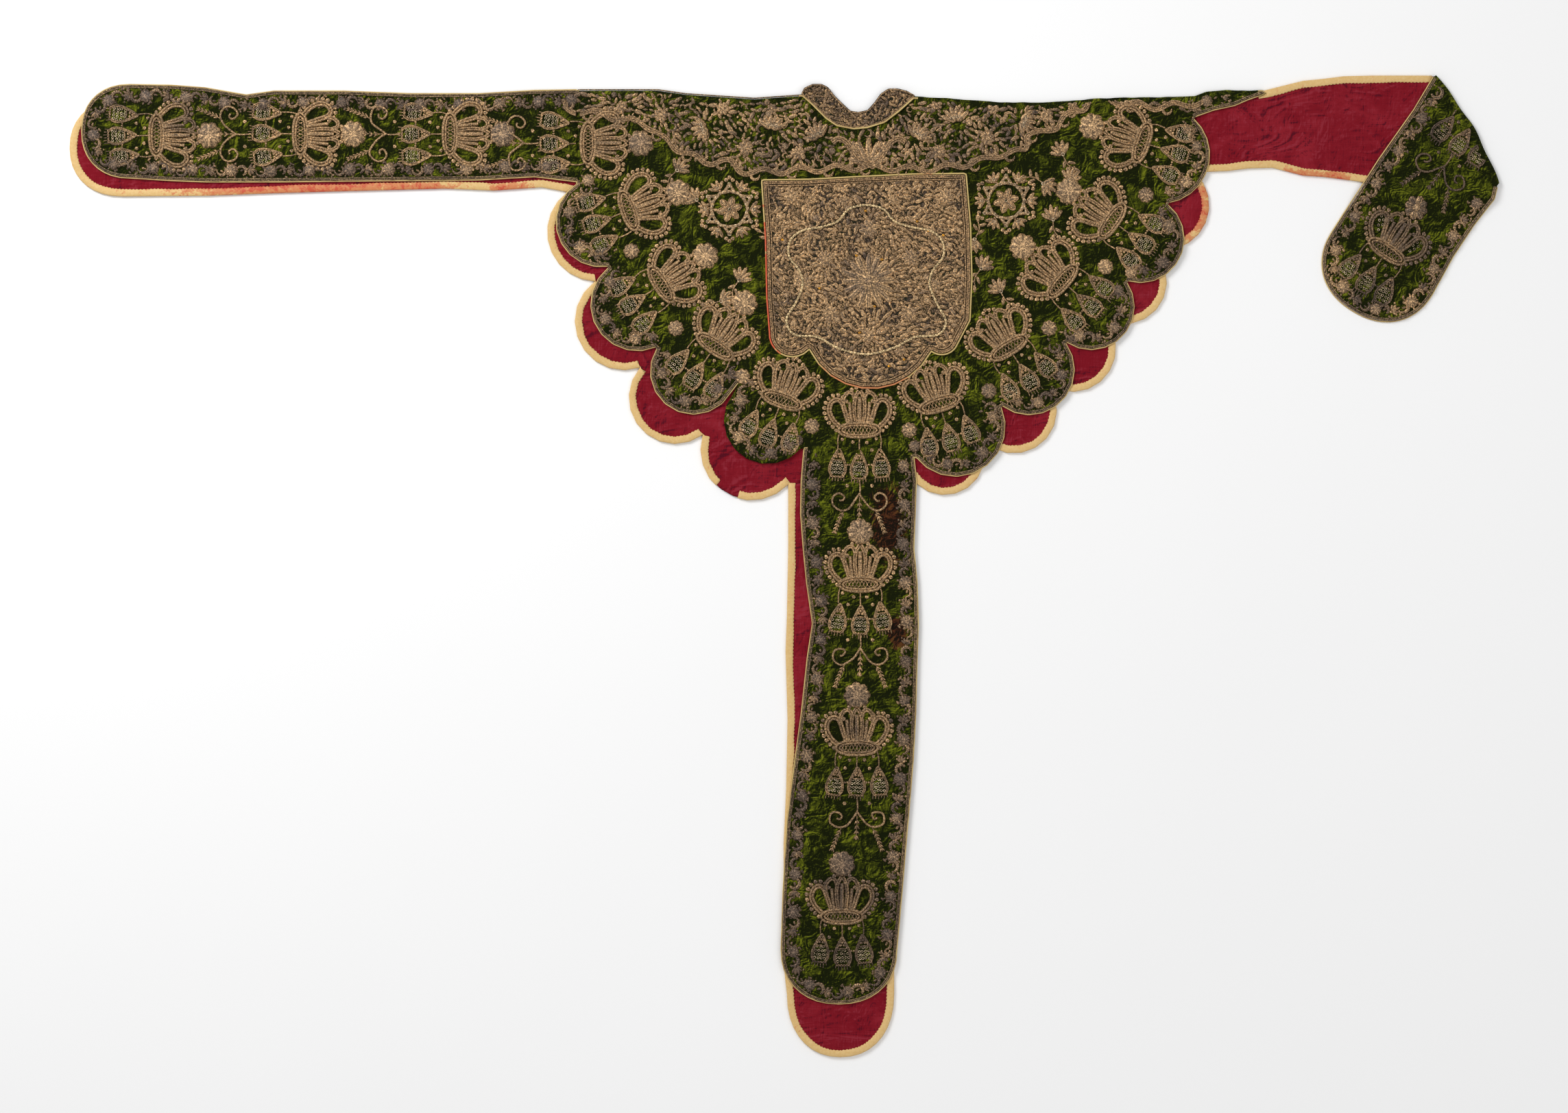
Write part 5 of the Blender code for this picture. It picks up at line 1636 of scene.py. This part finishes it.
class STOLE_OT_stage(bpy.types.Operator):
    """Floor, soft light and a camera that looks straight down"""

    bl_idname = "stole.stage"
    bl_label = "Stage"

    def execute(self, context):
        stage = context.scene.stole_stage
        bm = bmesh.new()
        bmesh.ops.create_grid(bm, x_segments=2, y_segments=2, size=9.0)
        for vertex in bm.verts:
            vertex.co.z = -0.0006
        mesh = bpy.data.meshes.new("floor")
        bm.to_mesh(mesh)
        bm.free()
        floor = bpy.data.objects.new("floor", mesh)
        finish = Finish("floor_paper", roughness=0.9, specular=0.1)
        tint = finish.blend(finish.noise(2.0, 2), stage.floor, tuple(0.985 * part for part in stage.floor))
        mesh.materials.append(finish.coat(tint))
        context.scene.collection.objects.link(floor)
        for name, place, power, size in (
            ("key_light", (-2.2, 2.4, 2.7), stage.key, 1.6),
            ("fill_light", (2.2, -0.6, 3.4), stage.fill, 3.0),
        ):
            light = bpy.data.lights.new(name, "AREA")
            light.energy, light.size = power, size
            lamp = bpy.data.objects.new(name, light)
            lamp.location = place
            lamp.rotation_euler = (-Vector(place)).to_track_quat("-Z", "Y").to_euler()
            context.scene.collection.objects.link(lamp)
        world = bpy.data.worlds.new("soft_sky")
        world.use_nodes = True
        sky = world.node_tree.nodes["Background"]
        sky.inputs["Color"].default_value = (1.0, 1.0, 1.0, 1.0)
        sky.inputs["Strength"].default_value = 0.52
        context.scene.world = world
        lens_data = bpy.data.cameras.new("camera")
        lens_data.sensor_width = 36.0
        lens_data.lens = 36.0 * stage.view_height / stage.view_width
        lens_data.clip_end = 50.0
        camera = bpy.data.objects.new("camera", lens_data)
        middle_x, middle_y = (1143.5 - 1145) * 1.05, (826 - 812) * 1.05
        camera.location = ((middle_x + SHIFT[0]) * MM, (middle_y + SHIFT[1]) * MM, stage.view_height)
        context.scene.collection.objects.link(camera)
        context.scene.camera = camera
        context.scene.view_settings.view_transform = "Standard"
        return {"FINISHED"}


class STOLE_OT_back_half(bpy.types.Operator):
    """The back's velvet, lying face down, and its creased lining"""

    bl_idname = "stole.back_half"
    bl_label = "Back Half"

    def execute(self, context):
        coats = finishes()
        cloth = context.scene.stole_cloth
        crease = cloth.crease_height / MM
        for part in ("back_cape", "back_left_band", "back_centre_band"):
            velvet = node_outline(part + "_velvet")
            PIECES[part + "_velvet"] = shell(
                part + "_velvet_cloth", velvet, BACK_VELVET, lambda x, y: 0 * x, crushed, coats["velvet"],
                2.5 * cloth.pitch / MM)
            lining = node_outline(part + "_lining")
            PIECES[part + "_lining"] = shell(
                part + "_lining_cloth", lining, BACK_LINING, lambda x, y: crease * creased(x, y) * 0.8, creased,
                coats["lining"], 1.25 * cloth.pitch / MM)
        return {"FINISHED"}


class STOLE_OT_right_band(bpy.types.Operator):
    """The right band, lining up, with its end turned over onto it"""

    bl_idname = "stole.right_band"
    bl_label = "Right Band"

    def execute(self, context):
        coats = finishes()
        cloth = context.scene.stole_cloth
        pitch, crease = cloth.pitch / MM, cloth.crease_height / MM
        still = lambda x, y: 0 * x
        velvet = TurnedBand(VELVET_TURN, BACK_VELVET[1] - BACK_VELVET[0])
        PIECES["right_band_velvet"] = shell(
            "right_band_velvet_cloth", velvet.outline("right_band_velvet"), BACK_VELVET, still, crushed,
            coats["velvet"], pitch, velvet.shape(velvet_swell, still), velvet.fold_rows())
        lining = TurnedBand(LINING_TURN, BACK_LINING[1] - BACK_LINING[0])
        PIECES["right_band_lining"] = shell(
            "right_band_lining_cloth", lining.outline("right_band_velvet"), BACK_LINING, still, creased,
            coats["lining"], pitch,
            lining.shape(still, lambda x, y: crease * creased(x, y)), lining.fold_rows())
        return {"FINISHED"}


class STOLE_OT_front_half(bpy.types.Operator):
    """The front's crushed velvet, and its turn over the right shoulder"""

    bl_idname = "stole.front_half"
    bl_label = "Front Half"

    def execute(self, context):
        coats = finishes()
        pitch = context.scene.stole_cloth.pitch / MM
        for part in ("front_cape", "front_left_band", "front_centre_band"):
            PIECES[part + "_velvet"] = shell(
                part + "_velvet_cloth", beside(node_outline(part + "_velvet"), -SEAM_OVERLAP, True), FRONT_VELVET,
                front_swell, crushed, coats["velvet"], pitch)
        radius = (FRONT_VELVET[1] - BACK_VELVET[0]) / 2
        line, _ = edge_run(node_outline("front_cape_velvet"), "shoulder_turn_velvet", 0.3)
        angles = np.linspace(math.pi / 2, -math.pi / 2, 9)
        section = [(-radius * math.cos(angle), radius + radius * math.sin(angle)) for angle in angles]
        inner = radius - (FRONT_VELVET[1] - FRONT_VELVET[0])
        section += [(-inner * math.cos(angle), radius + inner * math.sin(angle)) for angle in angles[::-1]]

        def uneven(line, across, levels):
            across = across * (1 + 0.35 * (value_noise(line[:, :1] / 13, line[:, 1:] / 13, 41) - 0.5))
            return across, levels

        turn = strip("shoulder_turn_velvet_cloth", line, False, section, coats["velvet"],
                     {"ridge": lambda p: crushed(p[:, 0], p[:, 1])}, uneven)
        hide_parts("shoulder_turn_velvet")
        length = float(np.linalg.norm(np.diff(line, axis=0), axis=1).sum())
        width = math.pi * (radius + inner) / 2
        turn["cut"] = [length * MM, (width + TURN_ALLOWANCE) * MM, length * width * MM * MM]
        PIECES["shoulder_turn_velvet"] = turn
        return {"FINISHED"}


class STOLE_OT_bindings(bpy.types.Operator):
    """Yellow binding turned onto the lining, with its whipped inner edge"""

    bl_idname = "stole.bindings"
    bl_label = "Bindings"

    def execute(self, context):
        coats = finishes()
        width = context.scene.stole_trims.binding_width / MM
        section = ((0.0, 0.1), (-0.2, 2.2), (0.3, 3.7), (1.6, 4.35), (width * 0.5, 4.25), (width - 1.2, 4.15),
                   (width, 3.5), (width - 0.3, 2.95), (1.3, 2.95), (1.3, 0.1))

        front = node_outline("front_cape_velvet")

        def whipped(line, across, levels):
            step = np.arange(len(line))
            wave = 0.55 * np.where(step % 2 == 0, 1, -1) + 1.6 * (value_noise(line[:, 0] / 26, line[:, 1] / 26, 51) - 0.5)
            across = across.copy()
            across[:, 5:8] += wave[:, None]
            across[:, 4] += 0.5 * wave
            levels = levels + 0.0
            levels[:, 2:6] += 0.5 * value_noise(line[:, :1] / 9, line[:, 1:] / 9, 52)
            torn = np.hypot(line[:, 0] - TORN[0], line[:, 1] - TORN[1]) < TORN[2]
            across[torn], levels[torn] = 1.3 + 0.2 * np.arange(across.shape[1]), 0.6
            return across, levels

        def stained(points):
            share = np.zeros(len(points))
            for x, y, half_x, half_y in STAINS:
                reach = np.hypot((points[:, 0] - x) / half_x, (points[:, 1] - y) / half_y)
                share = np.maximum(share, np.clip(1.6 - reach, 0, 1))
            return share

        for node, source in (
            ("back_cape_left_scallops_binding", "back_cape_velvet"),
            ("back_cape_right_scallops_binding", "back_cape_velvet"),
            ("back_cape_left_shoulder_binding", "back_cape_velvet"),
            ("back_left_band_binding", "back_left_band_velvet"),
            ("back_centre_band_binding", "back_centre_band_velvet"),
            ("right_band_upper_binding", "right_band_velvet"),
            ("right_band_lower_binding", "right_band_velvet"),
        ):
            line, closed = edge_run(node_outline(source), node, BOUND_MARGIN, 3.0, 2.7, 7.5, front)
            piece = strip(node + "_silk", line, closed, section, coats["binding"],
                          {"stain": stained}, whipped)
            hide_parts(node)
            PIECES[node] = piece
        return {"FINISHED"}


def corded(name, runs, material, sides=6):
    """Cords along lines in space, through the couching tree. A run has its line, radius and height."""
    points, edges, radii, tones = [], [], [], []
    for line, radius, heights, closed in runs:
        first = len(points)
        for place, height in zip(line, heights):
            points.append(((place[0] + SHIFT[0]) * MM, (place[1] + SHIFT[1]) * MM, height * MM))
            radii.append(radius * MM)
            tones.append(0.5)
        edges += [(first + step, first + step + 1) for step in range(len(line) - 1)]
        if closed:
            edges.append((len(points) - 1, first))
    mesh = bpy.data.meshes.new(name)
    mesh.from_pydata(points, edges, [])
    mesh.attributes.new("radius", "FLOAT", "POINT").data.foreach_set("value", np.array(radii, np.float32))
    mesh.attributes.new("tone", "FLOAT", "POINT").data.foreach_set("value", np.array(tones, np.float32))
    piece = bpy.data.objects.new(name, mesh)
    bpy.context.scene.collection.objects.link(piece)
    tree, sockets = TREES["couching"]
    baked(piece, tree, {sockets["sides"]: sides, sockets["scale"]: 1.0, sockets["material"]: material})
    piece.data.polygons.foreach_set("use_smooth", np.ones(len(piece.data.polygons), bool))
    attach(piece, "root")
    return piece


FRONT_EDGES = (
    ("front_cape_left_scallops_piping", "front_cape_velvet"),
    ("front_cape_right_scallops_piping", "front_cape_velvet"),
    ("front_cape_left_shoulder_piping", "front_cape_velvet"),
    ("front_left_band_piping", "front_left_band_velvet"),
    ("front_centre_band_piping", "front_centre_band_velvet"),
)


def front_edge(node, source):
    return edge_run(node_outline(source), node, PIPED_MARGIN)


class STOLE_OT_pipings(bpy.types.Operator):
    """Pale piping on the front's edges, with metal cord couched inside it"""

    bl_idname = "stole.pipings"
    bl_label = "Pipings"

    def execute(self, context):
        coats = finishes()
        trims = context.scene.stole_trims
        radius, cord = trims.piping_radius / MM, trims.cord_radius / MM
        runs = [(node, *front_edge(node, source), front_top, FRONT_VELVET[0] + 1.3) for node, source in FRONT_EDGES]
        cords = []
        for node, line, closed, top, level in runs:
            middle = beside(line, radius, closed)
            waver = 0.25 * (value_noise(line[:, 0] / 12, line[:, 1] / 12, 61) - 0.5)
            plain = "shoulder" in node
            piece = corded(node + "_silk", [(middle, radius, level + waver, closed)],
                           coats["edge_cord" if plain else "piping"])
            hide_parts(node)
            PIECES[node] = piece
            for inset in () if plain else (PIPED_MARGIN + 0.4, PIPED_MARGIN + 0.5 + 2 * cord):
                path = beside(line, inset, closed)
                cords.append((path, cord, top(path[:, 0], path[:, 1]) + 0.5 * cord, closed))
        edge = resampled(np.vstack([FOLD[1:], flap_outline(), FOLD[:1]]), 2.5)
        middle = beside(edge, -radius)
        level = FOLD_HEIGHT + (LINING_TURN + VELVET_TURN) / 2
        trimmed = slice(1, -1)
        heights = level - settled(middle[:, 0], middle[:, 1])
        piece = corded("right_band_end_piping_silk", [(middle[trimmed], radius, heights[trimmed], False)],
                       coats["piping"])
        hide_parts("right_band_end_piping")
        PIECES["right_band_end_piping"] = piece
        for inset in (PIPED_MARGIN + 0.8, PIPED_MARGIN + 0.8 + 2 * cord):
            path = beside(edge, -inset)[trimmed]
            cords.append((path, cord, flap_top(path[:, 0], path[:, 1]) + 0.5 * cord, False))
        PIECES["edge_cords"] = corded("edge_cords_metal", cords, coats["edge_cord"], 4)
        return {"FINISHED"}


class STOLE_OT_collar(bpy.types.Operator):
    """The embroidered neck collar and the piping on its seam"""

    bl_idname = "stole.collar"
    bl_label = "Neck Collar"

    def execute(self, context):
        coats = finishes()
        outline = node_outline("neck_collar")
        PIECES["neck_collar"] = shell(
            "neck_collar_cloth", outline, COLLAR, lambda x, y: collar_top(x, y) - COLLAR[1], crushed,
            coats["ground"], 3.0)
        seam, _ = edge_run(node_outline("front_cape_velvet"), "collar_seam_piping", 0.15, 5.0)
        heights = np.full(len(seam), 8.4) + 0.3 * value_noise(seam[:, 0] / 9, seam[:, 1] / 9, 71)
        piece = corded("collar_seam_piping_silk", [(seam, 1.3, heights, False)], coats["piping"])
        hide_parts("collar_seam_piping")
        PIECES["collar_seam_piping"] = piece
        sewing = Sewing(72)
        sew_foliage(sewing, outline, 4.4, 73, 0.5, COLLAR_GROWTH, 9.0, 3.0)
        edge = resampled(beside(outline, 2.0, True), 2.5, True)
        sewing.thread(edge, 1.2, 0.4, 0.6, True)
        PIECES["collar_sewing"] = sewing.clip(outline).make("collar", collar_top, coats["thread"], coats["motif"], coats["spangle"])
        return {"FINISHED"}


class STOLE_OT_crowns(bpy.types.Operator):
    """Crowns, tassels and forked stems on the front and on the turned end"""

    bl_idname = "stole.crowns"
    bl_label = "Crowns and Tassels"

    def execute(self, context):
        coats = finishes()
        parts = (coats["thread"], coats["motif"], coats["spangle"])
        sewing, hung = Sewing(81), Sewing(83)
        for x, y, turn, flower, fork in CROWNS:
            far = max(0.0, -x - 800) / 400 + max(0.0, -y) / 700
            tone = 0.74 - 0.6 * far
            at = Motif(sewing, x, y, turn, 1.0, tone)
            sew_crown(at)
            if flower:
                sew_rosette(at.sub(CROWN_FLOWER, 0), 21, 3.4, 0.0, -0.1)
            at = Motif(hung, x, y, turn, 1.0, tone)
            sew_tassels(at)
            if fork:
                sew_fork(at)
        PIECES["crown_sewing"] = sewing.make("crown", front_top, *parts)
        PIECES["tassel_sewing"] = hung.clip(*front_grounds(0.5)).make("tassel", front_top, *parts)
        sewing = Sewing(82)
        at = Motif(sewing, *FLAP_CROWN, 1.0, 0.32)
        sew_crown(at, True)
        sew_tassels(at)
        sew_flower(at.sub(CROWN_FLOWER, 0, 12), 20, 8, 2.4)
        upper = Motif(sewing, *FLAP_TASSELS, 1.0, 0.25)
        sew_tassels(upper)
        sew_fork(upper)
        PIECES["flap_crown_sewing"] = sewing.clip(flap_ground()).make("flap_crown", flap_top, *parts)
        return {"FINISHED"}


class STOLE_OT_stars(bpy.types.Operator):
    """Stars, rosettes at the cusps and loose sprays on the cape"""

    bl_idname = "stole.stars"
    bl_label = "Stars and Sprays"

    def execute(self, context):
        coats = finishes()
        sewing = Sewing(91)
        for x, y in STARS:
            sew_star(Motif(sewing, x, y, 0, 1.0, 0.74))
        for x, y in CUSP_ROSETTES:
            sew_rosette(Motif(sewing, x, y, 0, 1.0, 0.5), 12.5, 2.6)
        for x, y, turn in SPRAYS:
            sew_spray(Motif(sewing, x, y, turn, 1.12, 0.66))
        PIECES["star_sewing"] = sewing.make("star", front_top, coats["thread"], coats["motif"], coats["spangle"])
        return {"FINISHED"}


def front_grounds(margin=1.5):
    """The front's velvets, a little inside their edges."""
    return [beside(resampled(node_outline(part + "_velvet"), 4.0, True), margin, True)
            for part in ("front_cape", "front_left_band", "front_centre_band")]


class STOLE_OT_borders(bpy.types.Operator):
    """Floral borders inside the front's piped edges, all but the shoulder's, and inside the turned end's edge"""

    bl_idname = "stole.borders"
    bl_label = "Borders"

    def execute(self, context):
        coats = finishes()
        parts = (coats["thread"], coats["motif"], coats["spangle"])
        sewing = Sewing(101)
        for node, source in FRONT_EDGES:
            if "shoulder" not in node:
                line, closed = front_edge(node, source)
                sew_border(sewing, line, 0.36 if "cape" in node else 0.24, closed=closed)
        PIECES["border_sewing"] = sewing.clip(*front_grounds()).make("border", front_top, *parts)
        sewing = Sewing(102)
        edge = resampled(np.vstack([flap_outline(), FOLD[:1]]), 3.0)[2:-2]
        sew_border(sewing, edge[::-1], 0.4)
        PIECES["flap_border_sewing"] = sewing.clip(flap_ground()).make("flap_border", flap_top, *parts)
        return {"FINISHED"}


class STOLE_OT_yoke(bpy.types.Operator):
    """The densely worked yoke round the neck, with its scrolled lower border"""

    bl_idname = "stole.yoke"
    bl_label = "Yoke"

    def execute(self, context):
        coats = finishes()
        sewing = Sewing(111)
        cape = node_outline("front_cape_velvet")
        upper = cape[cape[:, 1] > 660]
        border = np.array(YOKE_BORDER, float)
        top = upper[np.argsort(upper[:, 0])]
        top = top[(top[:, 0] > border[0, 0]) & (top[:, 0] < border[-1, 0])] - (0, YOKE_TOP_MARGIN)
        outline = np.vstack([border, top[::-1]])
        avoid = [(x, y, 13) for x, y, _ in YOKE_SHELLS] + [(x, y, radius * 0.8) for x, y, radius in YOKE_FLOWERS]
        avoid += [(128, 636, 24)]
        chance = sewing.random
        sew_foliage(sewing, outline, 6.8, 112, 0.5, YOKE_FLOWERS + YOKE_SHELLS, 13.0, 3.5, avoid)
        for x, y, turn in YOKE_SHELLS:
            at = Motif(sewing, x, y, turn, 1.0, 0.66)
            for step in range(6):
                fan = (step - 2.5) * 24
                at.leaf(0, 0, fan, 26, 10.5, 2.6, 0.8)
            for step in range(4):
                at.spangle(7, (step - 1.5) * 4.5, 2.3, 2.8)
        for x, y, radius in YOKE_FLOWERS:
            sew_flower(Motif(sewing, x, y, chance.uniform(0, 60), 1.0, 0.64), radius, 8, 2.6)
        at = Motif(sewing, *PALMETTE, 1.0, 0.66)
        for step in range(7):
            fan = (step - 3) * 24
            at.leaf(2, 0, fan, 46 - abs(fan) * 0.16, 13, 2.8, 0.6)
        for side in (1, -1):
            arm = flow([(x, y * side) for x, y in PALMETTE_ARM], 3.0)
            for inset in (-2.9, 0.0, 2.9):
                at.thread(beside(arm, inset), 1.6, 0.8)
            at.spot("left_curl" if side > 0 else "curl", 52, 40 * side, 90, 11, 11, 2.4, 0.5)
        scroll = flow(YOKE_BORDER, 3.0)
        travel = np.arange(len(scroll)) * 3.0
        swing = 4.5 * np.sin(travel * math.tau / YOKE_WAVE)
        for inset in (-2.8, 0.0, 2.8):
            sewing.thread(beside(scroll, (inset + 3 + swing)[:, None]), 1.6, 0.4, 0.66)
        for step, place in enumerate(resampled(scroll, YOKE_WAVE / 2)[1:-1]):
            left = step % 2 == 0
            at = Motif(sewing, place[0], place[1] + (12 if left else -2), 0, 1.0, 0.64)
            at.spot("left_curl" if left else "curl", 0, 0, 0 if left else 180, 9.5, 9.5, 2.4, 0.4)
        PIECES["yoke_sewing"] = sewing.clip(*front_grounds(0.5)).make("yoke", front_top, coats["thread"], coats["motif"], coats["spangle"])
        return {"FINISHED"}


def rotation(angle):
    cosine, sine = math.cos(math.radians(angle)), math.sin(math.radians(angle))
    return np.array([[cosine, sine], [-sine, cosine]])


class STOLE_OT_breast_panel(bpy.types.Operator):
    """The applied breast panel: packed foliage, flowers, a spangled cartouche and its edging"""

    bl_idname = "stole.breast_panel"
    bl_label = "Breast Panel"

    def execute(self, context):
        coats = finishes()
        outline = node_outline("breast_panel")
        PIECES["breast_panel"] = shell(
            "breast_panel_cloth", outline, PANEL, lambda x, y: panel_top(x, y) - PANEL[1], crushed,
            coats["ground"], 5.0)
        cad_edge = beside(resampled(outline, 2.5, True), -1.6, True)
        piece = corded("breast_panel_piping_silk", [(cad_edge, 1.3, np.full(len(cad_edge), PANEL[0] + 1.3), True)],
                       coats["coral"])
        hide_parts("breast_panel_piping")
        PIECES["breast_panel_piping"] = piece
        sewing = Sewing(121)
        edge = resampled(outline, 3.0, True)
        for inset, radius in ((1.8, 1.3), (4.2, 1.2), (7.6, 1.1)):
            sewing.thread(beside(edge, inset, True), radius, 0.5, 0.75, True)
        x, y, radius, petals = PANEL_ROSE
        avoid = [(x, y, radius * 0.8)] + [(a, b, c * 0.8) for a, b, c, _ in PANEL_FLOWERS]
        sew_foliage(sewing, outline, 6.0, 122, 0.72, PANEL_GROWTH, 13.5, 10, avoid, VINE_WIDTH)
        sew_flower(Motif(sewing, x, y, 0, 1.0, 0.64), radius, petals, 1.9)
        sew_flower(Motif(sewing, x, y, 11, 1.0, 0.68), radius * 0.55, 10, 2.6)
        for a, b, c, count in PANEL_FLOWERS:
            sew_flower(Motif(sewing, a, b, sewing.random.uniform(0, 40), 1.0, 0.62), c, count, 2.0)
        chain = resampled(flow(CARTOUCHE, 2.0, True), 5.0, True)
        for place, way in zip(chain, np.roll(chain, -1, axis=0) - chain):
            turn = math.degrees(math.atan2(way[1], way[0]))
            sewing.spot("petal", place[0], place[1], turn, 7.0, 4.4, 2.0, 2.4, 1.75)
        for a, b in PANEL_SPECKS:
            sewing.spot("knot", a, b, 0, 2.6, 2.0, 1.4, 2.2, 3.0)
        PIECES["panel_sewing"] = sewing.make("panel", panel_top, coats["thread"], coats["motif"], coats["spangle"])
        return {"FINISHED"}


class STOLE_PT_panel(bpy.types.Panel):
    """Lists the stole's settings and steps"""

    bl_idname = "STOLE_PT_panel"
    bl_label = "Velvet Collar Stole"
    bl_space_type = "VIEW_3D"
    bl_region_type = "UI"
    bl_category = "Stole"

    def draw(self, context):
        layout = self.layout
        for group in ("stole_cloth", "stole_trims", "stole_threads", "stole_stage"):
            box = layout.box()
            settings = getattr(context.scene, group)
            for name in settings.__annotations__:
                box.prop(settings, name)
        for step in STEPS:
            layout.operator(step.bl_idname)


GROUPS = {"stole_cloth": StoleCloth, "stole_trims": StoleTrims, "stole_threads": StoleThreads,
          "stole_stage": StoleStage}
STEPS = (
    STOLE_OT_stage, STOLE_OT_back_half, STOLE_OT_right_band, STOLE_OT_bindings, STOLE_OT_front_half,
    STOLE_OT_pipings, STOLE_OT_collar, STOLE_OT_borders, STOLE_OT_crowns, STOLE_OT_stars, STOLE_OT_yoke,
    STOLE_OT_breast_panel,
)


def register():
    for group in GROUPS.values():
        bpy.utils.register_class(group)
    for step in STEPS:
        bpy.utils.register_class(step)
    bpy.utils.register_class(STOLE_PT_panel)
    for name, group in GROUPS.items():
        setattr(bpy.types.Scene, name, PointerProperty(type=group))


def unregister():
    for name in GROUPS:
        delattr(bpy.types.Scene, name)
    bpy.utils.unregister_class(STOLE_PT_panel)
    for step in reversed(STEPS):
        bpy.utils.unregister_class(step)
    for group in reversed(list(GROUPS.values())):
        bpy.utils.unregister_class(group)


def declare_cloth():
    """Look up each cloth piece with its cut sizes and area, and the trims and sewing on it; nothing more is done with
    them.
    """
    back = ["back_left_band_binding", "back_centre_band_binding"]
    rows = (
        ("back_cape_velvet", "laid", []),
        ("back_left_band_velvet", "laid", []),
        ("back_centre_band_velvet", "laid", []),
        ("back_cape_lining", "laid", ["back_cape_velvet"]),
        ("back_left_band_lining", "laid", ["back_left_band_velvet"]),
        ("back_centre_band_lining", "laid", ["back_centre_band_velvet"]),
        ("right_band_velvet", "folded", []),
        ("right_band_lining", "folded", ["right_band_velvet"]),
        ("front_cape_velvet", "laid", ["back_cape_lining"]),
        ("front_left_band_velvet", "laid", ["back_left_band_lining"] + back[:1]),
        ("front_centre_band_velvet", "laid", ["back_centre_band_lining"] + back[1:]),
        ("shoulder_turn_velvet", "folded", ["back_cape_lining"]),
        ("neck_collar", "laid", ["back_cape_lining"]),
        ("breast_panel", "laid", ["front_cape_velvet"]),
    )
    trims = {
        "back_cape_lining": ["back_cape_left_scallops_binding", "back_cape_right_scallops_binding",
                             "back_cape_left_shoulder_binding"],
        "back_left_band_lining": ["back_left_band_binding"],
        "back_centre_band_lining": ["back_centre_band_binding"],
        "right_band_lining": ["right_band_upper_binding", "right_band_lower_binding"],
        "right_band_velvet": ["right_band_end_piping"],
        "front_cape_velvet": ["front_cape_left_scallops_piping", "front_cape_right_scallops_piping",
                              "front_cape_left_shoulder_piping"],
        "front_left_band_velvet": ["front_left_band_piping"],
        "front_centre_band_velvet": ["front_centre_band_piping"],
        "neck_collar": ["collar_seam_piping"],
        "breast_panel": ["breast_panel_piping"],
    }
    sewn = {"front_cape_velvet": ["crown_sewing", "tassel_sewing", "star_sewing", "border_sewing", "yoke_sewing"],
            "right_band_velvet": ["flap_crown_sewing", "flap_border_sewing"],
            "neck_collar": ["collar_sewing"], "breast_panel": ["panel_sewing"]}
    for name, held, under in rows:
        piece = PIECES[name]
        width, length, area = piece["cut"]
        on_it = [PIECES[trim] for trim in trims.get(name, ())]
        on_it += [part for group in sewn.get(name, ()) for part in PIECES[group]]
        area = min(area, width * length)


def main():
    register()
    for step in STEPS:
        group, name = step.bl_idname.split(".")
        getattr(getattr(bpy.ops, group), name)()
    declare_cloth()
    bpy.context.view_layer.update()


if __name__ == "__main__":
    main()
